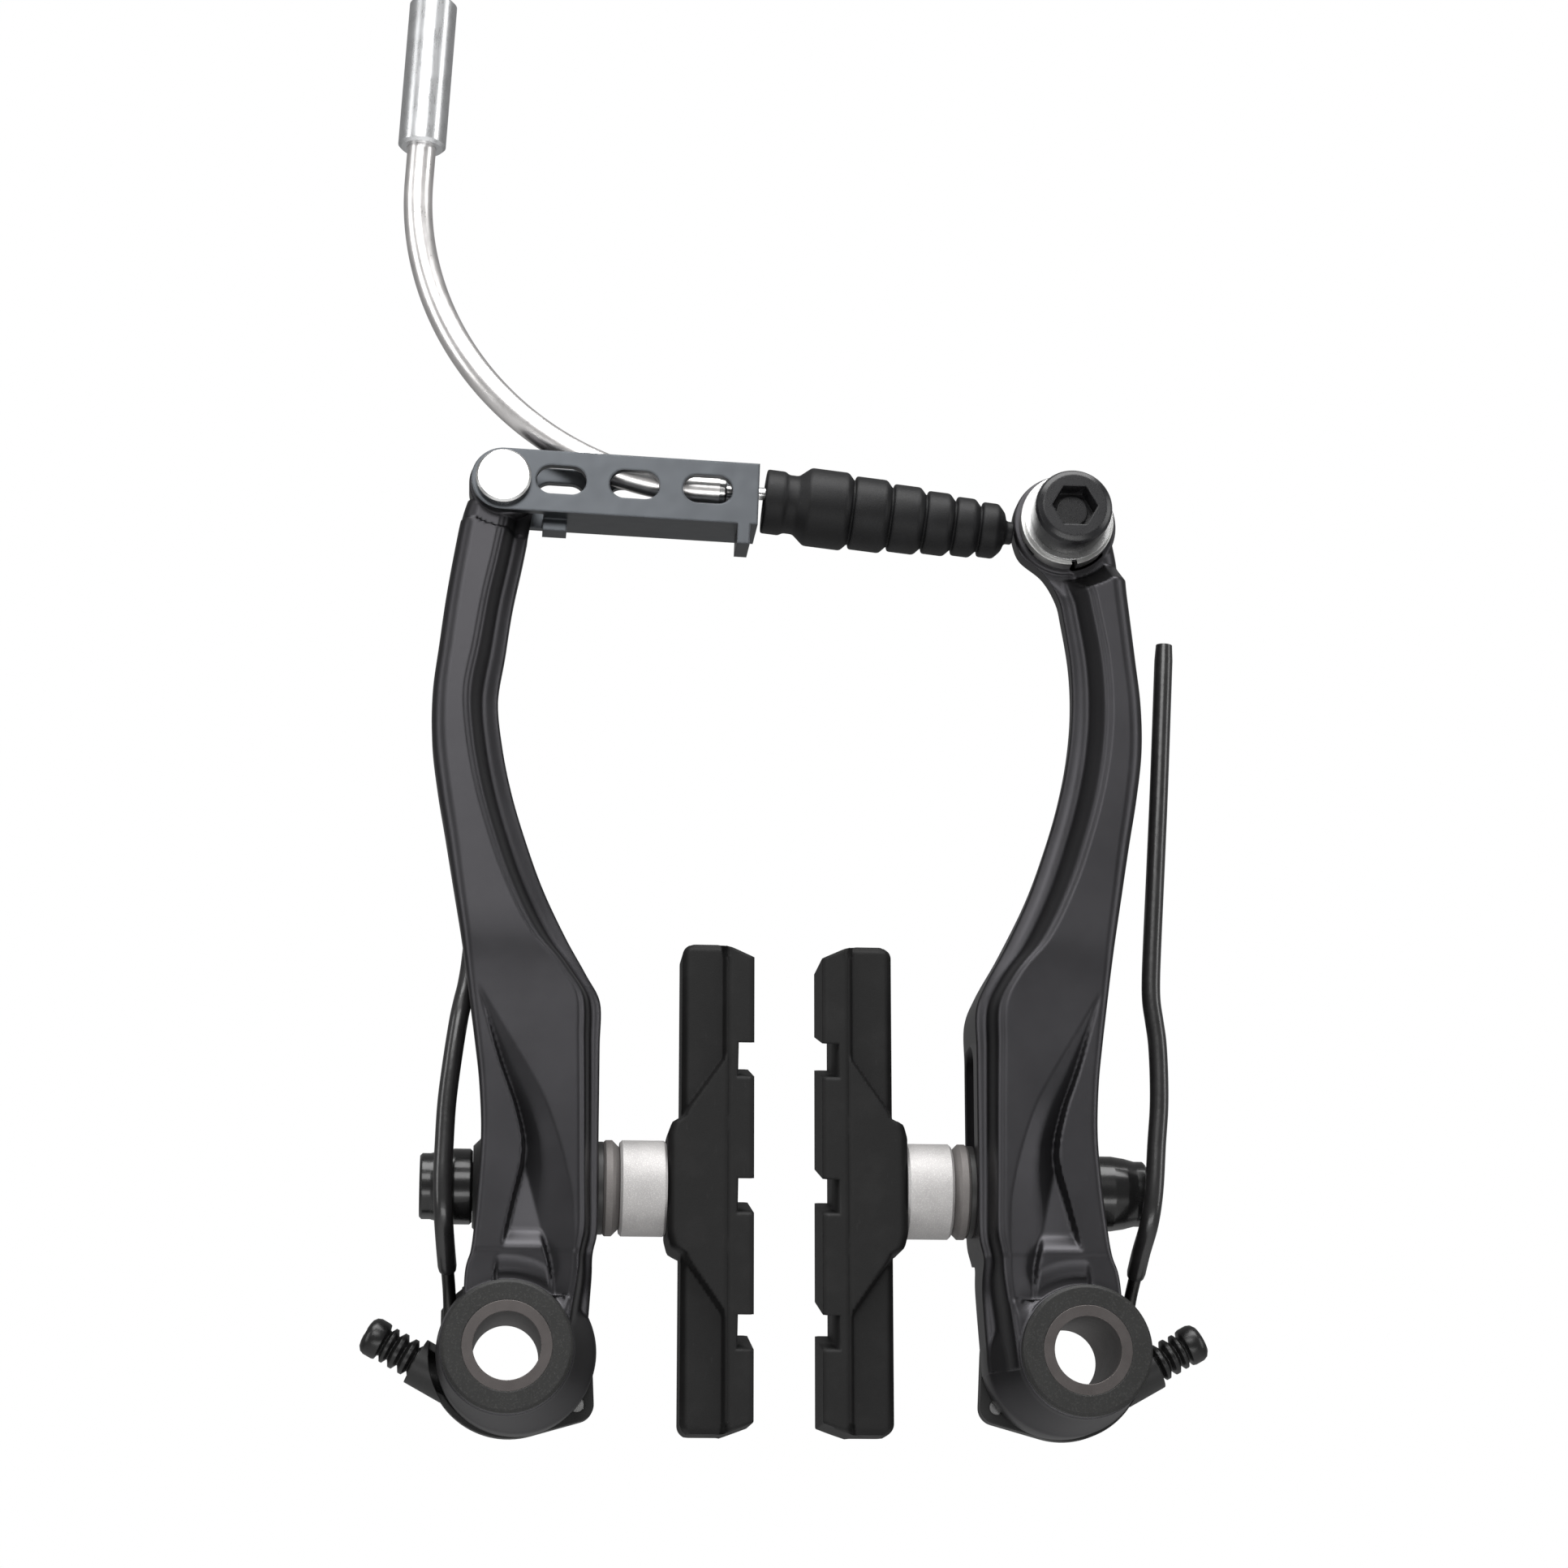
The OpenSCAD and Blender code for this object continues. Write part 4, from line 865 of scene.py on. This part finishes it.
class MakeTurned(bpy.types.Operator):
    """Makes the boot, the lead pipe and the two tension screws"""

    bl_idname = "brake.make_turned"
    bl_label = "Boot, pipe and screws"

    def execute(self, context):
        boot = boot_shape()
        dress(rubber_finish("boot_rubber", (0.0035, 0.0035, 0.004), 0.42), boot)
        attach(boot, "lead_pipe")
        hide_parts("boot")

        pipe = pipe_shape()
        dress(metal_finish("pipe_steel", (0.86, 0.84, 0.83), 0.26, edge=0.0), pipe)
        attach(pipe, "lead_pipe")
        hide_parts("lead_pipe")

        finish = black_finish("screw_black", (0.006, 0.006, 0.006), 0.26)
        for side in SIDES:
            screw = screw_shape(side)
            dress(finish, screw)
            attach(screw, side + "_tension_screw")
            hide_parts(side + "_tension_screw")
        return {"FINISHED"}


# Finishes
def dress(material, *names):
    """Gives a material to objects, by the names of CAD nodes or as objects."""
    for name in names:
        piece = NODES[name] if isinstance(name, str) else name
        piece.data.materials.clear()
        piece.data.materials.append(material)


def both(ending):
    return ["left_" + ending, "right_" + ending]


def arm_finish():
    """Satin black anodising: a dark metal with a fine grain and faint handling marks."""
    base = tuple_of(colours().arm)
    f = Finish("arm_satin_black", Metallic=1.0)
    grain = f.noise(11.0, 2.0)
    cloud = f.noise(0.10, 3.0)
    marks = f.step(f.noise(0.9, 4.0, 0.6), 0.62, 0.78)
    f.set("Base Color", f.mix(cloud, lighter(base, 0.8), lighter(base, 1.25)))
    f.set("Roughness", 0.33 + grain * 0.07 + cloud * 0.08 + marks * 0.07)
    f.bump(grain, 0.10, 0.00006, 0.3)
    return f.material


def metal_finish(name, base, roughness, brushed=None, edge=0.15):
    """Bare metal with brushing along one direction and a little dullness in patches."""
    f = Finish(name, Metallic=1.0)
    lines = f.noise(4.0, 3.0, 0.6, brushed)
    patches = f.noise(0.45, 3.0)
    f.set("Base Color", f.mix(patches, lighter(base, 0.86), lighter(base, 1.1)))
    f.set("Roughness", roughness + (lines - 0.5) * 0.14 + patches * 0.10)
    f.bump(lines, 0.06 if edge else 0.05, 0.00005, edge)
    return f.material


def black_finish(name, base, roughness, speckle=0.0, edge=0.2, coat=0.0):
    """Black coating or plastic, speckled where asked."""
    f = Finish(name, Coat_Weight=coat, Specular_IOR_Level=0.35)
    cloud = f.noise(0.35, 3.0)
    dots = f.step(f.noise(5.0, 2.0, 0.7), 0.52, 0.72)
    tone = f.mix(cloud, lighter(base, 0.8), lighter(base, 1.2))
    f.set("Base Color", f.mix(dots * speckle, tone, lighter(base, 4.5)))
    f.set("Roughness", roughness + cloud * 0.12 - dots * 0.05)
    f.bump(dots, 0.12 * (1 if speckle else 0.3), 0.0001, edge)
    return f.material


def rubber_finish(name, base, roughness):
    """Black rubber with a fine grain, dusty patches and small scuffs."""
    f = Finish(name, Specular_IOR_Level=0.22)
    grain = f.noise(7.0, 3.0, 0.65)
    dust = f.step(f.noise(0.22, 4.0), 0.45, 0.75)
    scuffs = f.step(f.noise(2.2, 2.0, 0.5, (1.0, 1.0, 0.25)), 0.66, 0.78)
    tone = f.mix(dust, lighter(base, 0.75), lighter(base, 1.5))
    f.set("Base Color", f.mix(scuffs * 0.35, tone, lighter(base, 3.2)))
    f.set("Roughness", roughness + grain * 0.16 - scuffs * 0.08)
    f.bump(grain, 0.22, 0.00012, 0.35)
    return f.material


def cast_finish(name, base, sparkle=0.5):
    """Rough cast metal with small bright grains."""
    f = Finish(name, Metallic=0.6)
    grain = f.noise(7.5, 2.0, 0.8)
    cloud = f.noise(0.5, 2.0)
    bright = f.step(grain, 0.50, 0.68)
    tone = f.mix(cloud, lighter(base, 0.85), lighter(base, 1.1))
    f.set("Base Color", f.mix(bright * sparkle, tone, lighter(base, 1.7)))
    f.set("Roughness", 0.52 + grain * 0.2)
    f.bump(grain, 0.3, 0.00012, 0.12)
    return f.material


def spring_finish():
    return metal_finish("spring_steel", (0.055, 0.054, 0.052), 0.30, edge=0.0)


def cover_finish():
    """Glossy black sleeve with faint waves along it."""
    f = Finish("spring_cover_gloss", Coat_Weight=0.15)
    cloud = f.noise(0.8, 3.0)
    f.set("Base Color", f.mix(cloud, (0.007, 0.007, 0.007), (0.014, 0.0135, 0.014)))
    f.set("Roughness", 0.24 + cloud * 0.12)
    f.bump(cloud, 0.15, 0.0002)
    return f.material


def link_finish():
    """Satin blue-grey coating on sheet, with broad soft patches."""
    base = tuple_of(colours().link)
    f = Finish("link_satin_black", Metallic=1.0)
    grain = f.noise(9.0, 2.0)
    blobs = f.noise(0.30, 1.0)
    f.set("Base Color", f.mix(blobs, lighter(base, 0.7), lighter(base, 1.3)))
    f.set("Roughness", 0.26 + blobs * 0.12 + grain * 0.05)
    f.bump(blobs, 0.15, 0.0004, 0.35)
    return f.material


class MakeFinishes(bpy.types.Operator):
    """Gives every CAD node its procedural material"""

    bl_idname = "brake.make_finishes"
    bl_label = "Finishes"

    def execute(self, context):
        steel = tuple_of(colours().steel)
        rubber = tuple_of(colours().rubber)
        dress(arm_finish(), "left_arm", "right_arm")
        dress(metal_finish("sleeve_steel", (0.09, 0.082, 0.080), 0.42), *both("pivot_sleeve"))
        dress(black_finish("ring_speckled", (0.008, 0.008, 0.0075), 0.42, speckle=0.5),
              *both("cap_ring"))
        dress(black_finish("plate_black", (0.009, 0.009, 0.009), 0.40), *both("spring_plate"))
        dress(metal_finish("bright_steel", steel, 0.20), "link_rivet", "clamp_washer",
              "pipe_nose", *both("stop_pin"))
        dress(metal_finish("clamp_plate_steel", (0.50, 0.50, 0.49), 0.30), "clamp_plate")
        dress(spring_finish(), *both("return_spring"))
        dress(cover_finish(), *both("spring_sleeve"))
        dress(black_finish("screw_black", (0.008, 0.008, 0.008), 0.26, edge=0.3),
              *both("tension_screw"))
        dress(black_finish("bolt_black", (0.008, 0.008, 0.009), 0.24, edge=0.25), "clamp_bolt")
        dress(black_finish("nut_gloss", (0.006, 0.006, 0.006), 0.20, edge=0.3, coat=0.2),
              *both("pad_nut"), *both("outer_cup_washer"))
        dress(black_finish("cup_black", (0.015, 0.0145, 0.014), 0.40), *both("inner_cup_washer"))
        dress(metal_finish("post_steel", (0.35, 0.35, 0.35), 0.35), *both("spring_hook"),
              *both("pad_post"))
        dress(link_finish(), "link")
        dress(metal_finish("pipe_steel", (0.60, 0.575, 0.565), 0.20, edge=0.0), "lead_pipe")
        dress(metal_finish("ferrule_metal", (0.70, 0.71, 0.72), 0.24,
                           brushed=(1.0, 1.0, 0.1)), "ferrule")
        dress(rubber_finish("boot_rubber_node", (0.004, 0.004, 0.0045), 0.42), "boot")
        dress(rubber_finish("pad_rubber", rubber, 0.50), *both("pad"))
        dress(cast_finish("spacer_cast", (0.40, 0.39, 0.385)), *both("spacer"))
        dress(cast_finish("washer_cast", (0.155, 0.145, 0.14), 0.35),
              *both("inner_dome_washer"))
        dress(black_finish("outer_dome_black", (0.010, 0.010, 0.010), 0.3),
              *both("outer_dome_washer"))
        return {"FINISHED"}


# Stage
def camera_axes(azimuth, elevation):
    forward = np.array([-math.sin(azimuth) * math.cos(elevation),
                        math.cos(azimuth) * math.cos(elevation), -math.sin(elevation)])
    right = np.array([math.cos(azimuth), math.sin(azimuth), 0.0])
    return forward, right, np.cross(right, forward)


def add_camera(studio):
    forward, right, up = camera_axes(studio.azimuth, studio.elevation)
    data = bpy.data.cameras.new("camera")
    data.lens = studio.lens
    data.sensor_width = SENSOR_WIDTH
    data.clip_start = 0.01
    data.clip_end = 20.0
    camera = add("camera", data)
    place = np.array(LOOK_AT) * MM - studio.distance * forward
    rows = np.column_stack([right, up, -forward, place]).tolist()
    camera.matrix_world = Matrix([*rows, (0.0, 0.0, 0.0, 1.0)])
    bpy.context.scene.camera = camera


def add_lamp(name, where, towards, power, width, height):
    light = bpy.data.lights.new(name, "AREA")
    light.shape = "RECTANGLE"
    light.size = width
    light.size_y = height
    light.energy = power
    lamp = add(name, light)
    lamp.location = where
    aim = Vector(towards) - Vector(where)
    lamp.rotation_euler = aim.to_track_quat("-Z", "Y").to_euler()
    lamp.visible_camera = False


def add_surround(strength):
    """White to the camera, and a light of the given strength on the brake."""
    bpy.context.scene.world = bpy.data.worlds.new("surround")
    world = Shading(bpy.context.scene.world)
    path = world.node("ShaderNodeLightPath")
    shown = world.math("MAXIMUM", path.outputs["Is Camera Ray"],
                       path.outputs["Is Transmission Ray"])
    level = world.node("ShaderNodeMapRange", Value=shown, To_Min=strength, To_Max=1.0)
    background = world.node("ShaderNodeBackground", Color=(1.0, 1.0, 1.0),
                            Strength=level.outputs["Result"])
    world.node("ShaderNodeOutputWorld", Surface=background.outputs["Background"])


def add_floor():
    mesh = bpy.data.meshes.new("floor")
    corners = [(FLOOR_HALF * x, FLOOR_HALF * y, FLOOR_Z)
               for x, y in ((-1, -1), (1, -1), (1, 1), (-1, 1))]
    mesh.from_pydata(corners, [], [(0, 1, 2, 3)])
    floor = add("floor", mesh)
    white = Finish("floor_white", Roughness=0.9, Base_Color=(0.8, 0.8, 0.8))
    mesh.materials.append(white.material)
    return floor


class MakeStudio(bpy.types.Operator):
    """Makes the camera, the lamps, the white surround and the floor"""

    bl_idname = "brake.make_studio"
    bl_label = "Studio"

    def execute(self, context):
        studio = context.scene.brake_studio
        add_camera(studio)
        for name, where, towards, power, width, height in LAMPS:
            add_lamp(name, where, towards, getattr(studio, power), width, height)
        add_surround(studio.surround)
        floor = add_floor()
        context.scene.view_settings.view_transform = "Standard"
        return {"FINISHED"}


class BrakePanel(bpy.types.Panel):
    """Lists the brake's colours, its studio and the buttons that make them"""

    bl_idname = "VIEW3D_PT_brake"
    bl_label = "Brake"
    bl_space_type = "VIEW_3D"
    bl_region_type = "UI"
    bl_category = "Brake"

    def draw(self, context):
        for group in (context.scene.brake_colours, context.scene.brake_studio):
            for name in group.bl_rna.properties.keys():
                if name not in ("rna_type", "name"):
                    self.layout.prop(group, name)
        for operator in OPERATORS:
            self.layout.operator(operator.bl_idname)


OPERATORS = (MakeFinishes, MakeArms, MakeSprings, MakePads, MakeTurned, MakeStudio)
CLASSES = (BrakeColours, BrakeStudio, *OPERATORS, BrakePanel)


def register():
    for each in CLASSES:
        bpy.utils.register_class(each)
    bpy.types.Scene.brake_colours = bpy.props.PointerProperty(type=BrakeColours)
    bpy.types.Scene.brake_studio = bpy.props.PointerProperty(type=BrakeStudio)


def unregister():
    del bpy.types.Scene.brake_studio
    del bpy.types.Scene.brake_colours
    for each in reversed(CLASSES):
        bpy.utils.unregister_class(each)


def main():
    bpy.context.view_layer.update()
    register()
    bpy.ops.brake.make_finishes()
    bpy.ops.brake.make_arms()
    bpy.ops.brake.make_springs()
    bpy.ops.brake.make_pads()
    bpy.ops.brake.make_turned()
    bpy.ops.brake.make_studio()


if __name__ == "__main__":
    main()
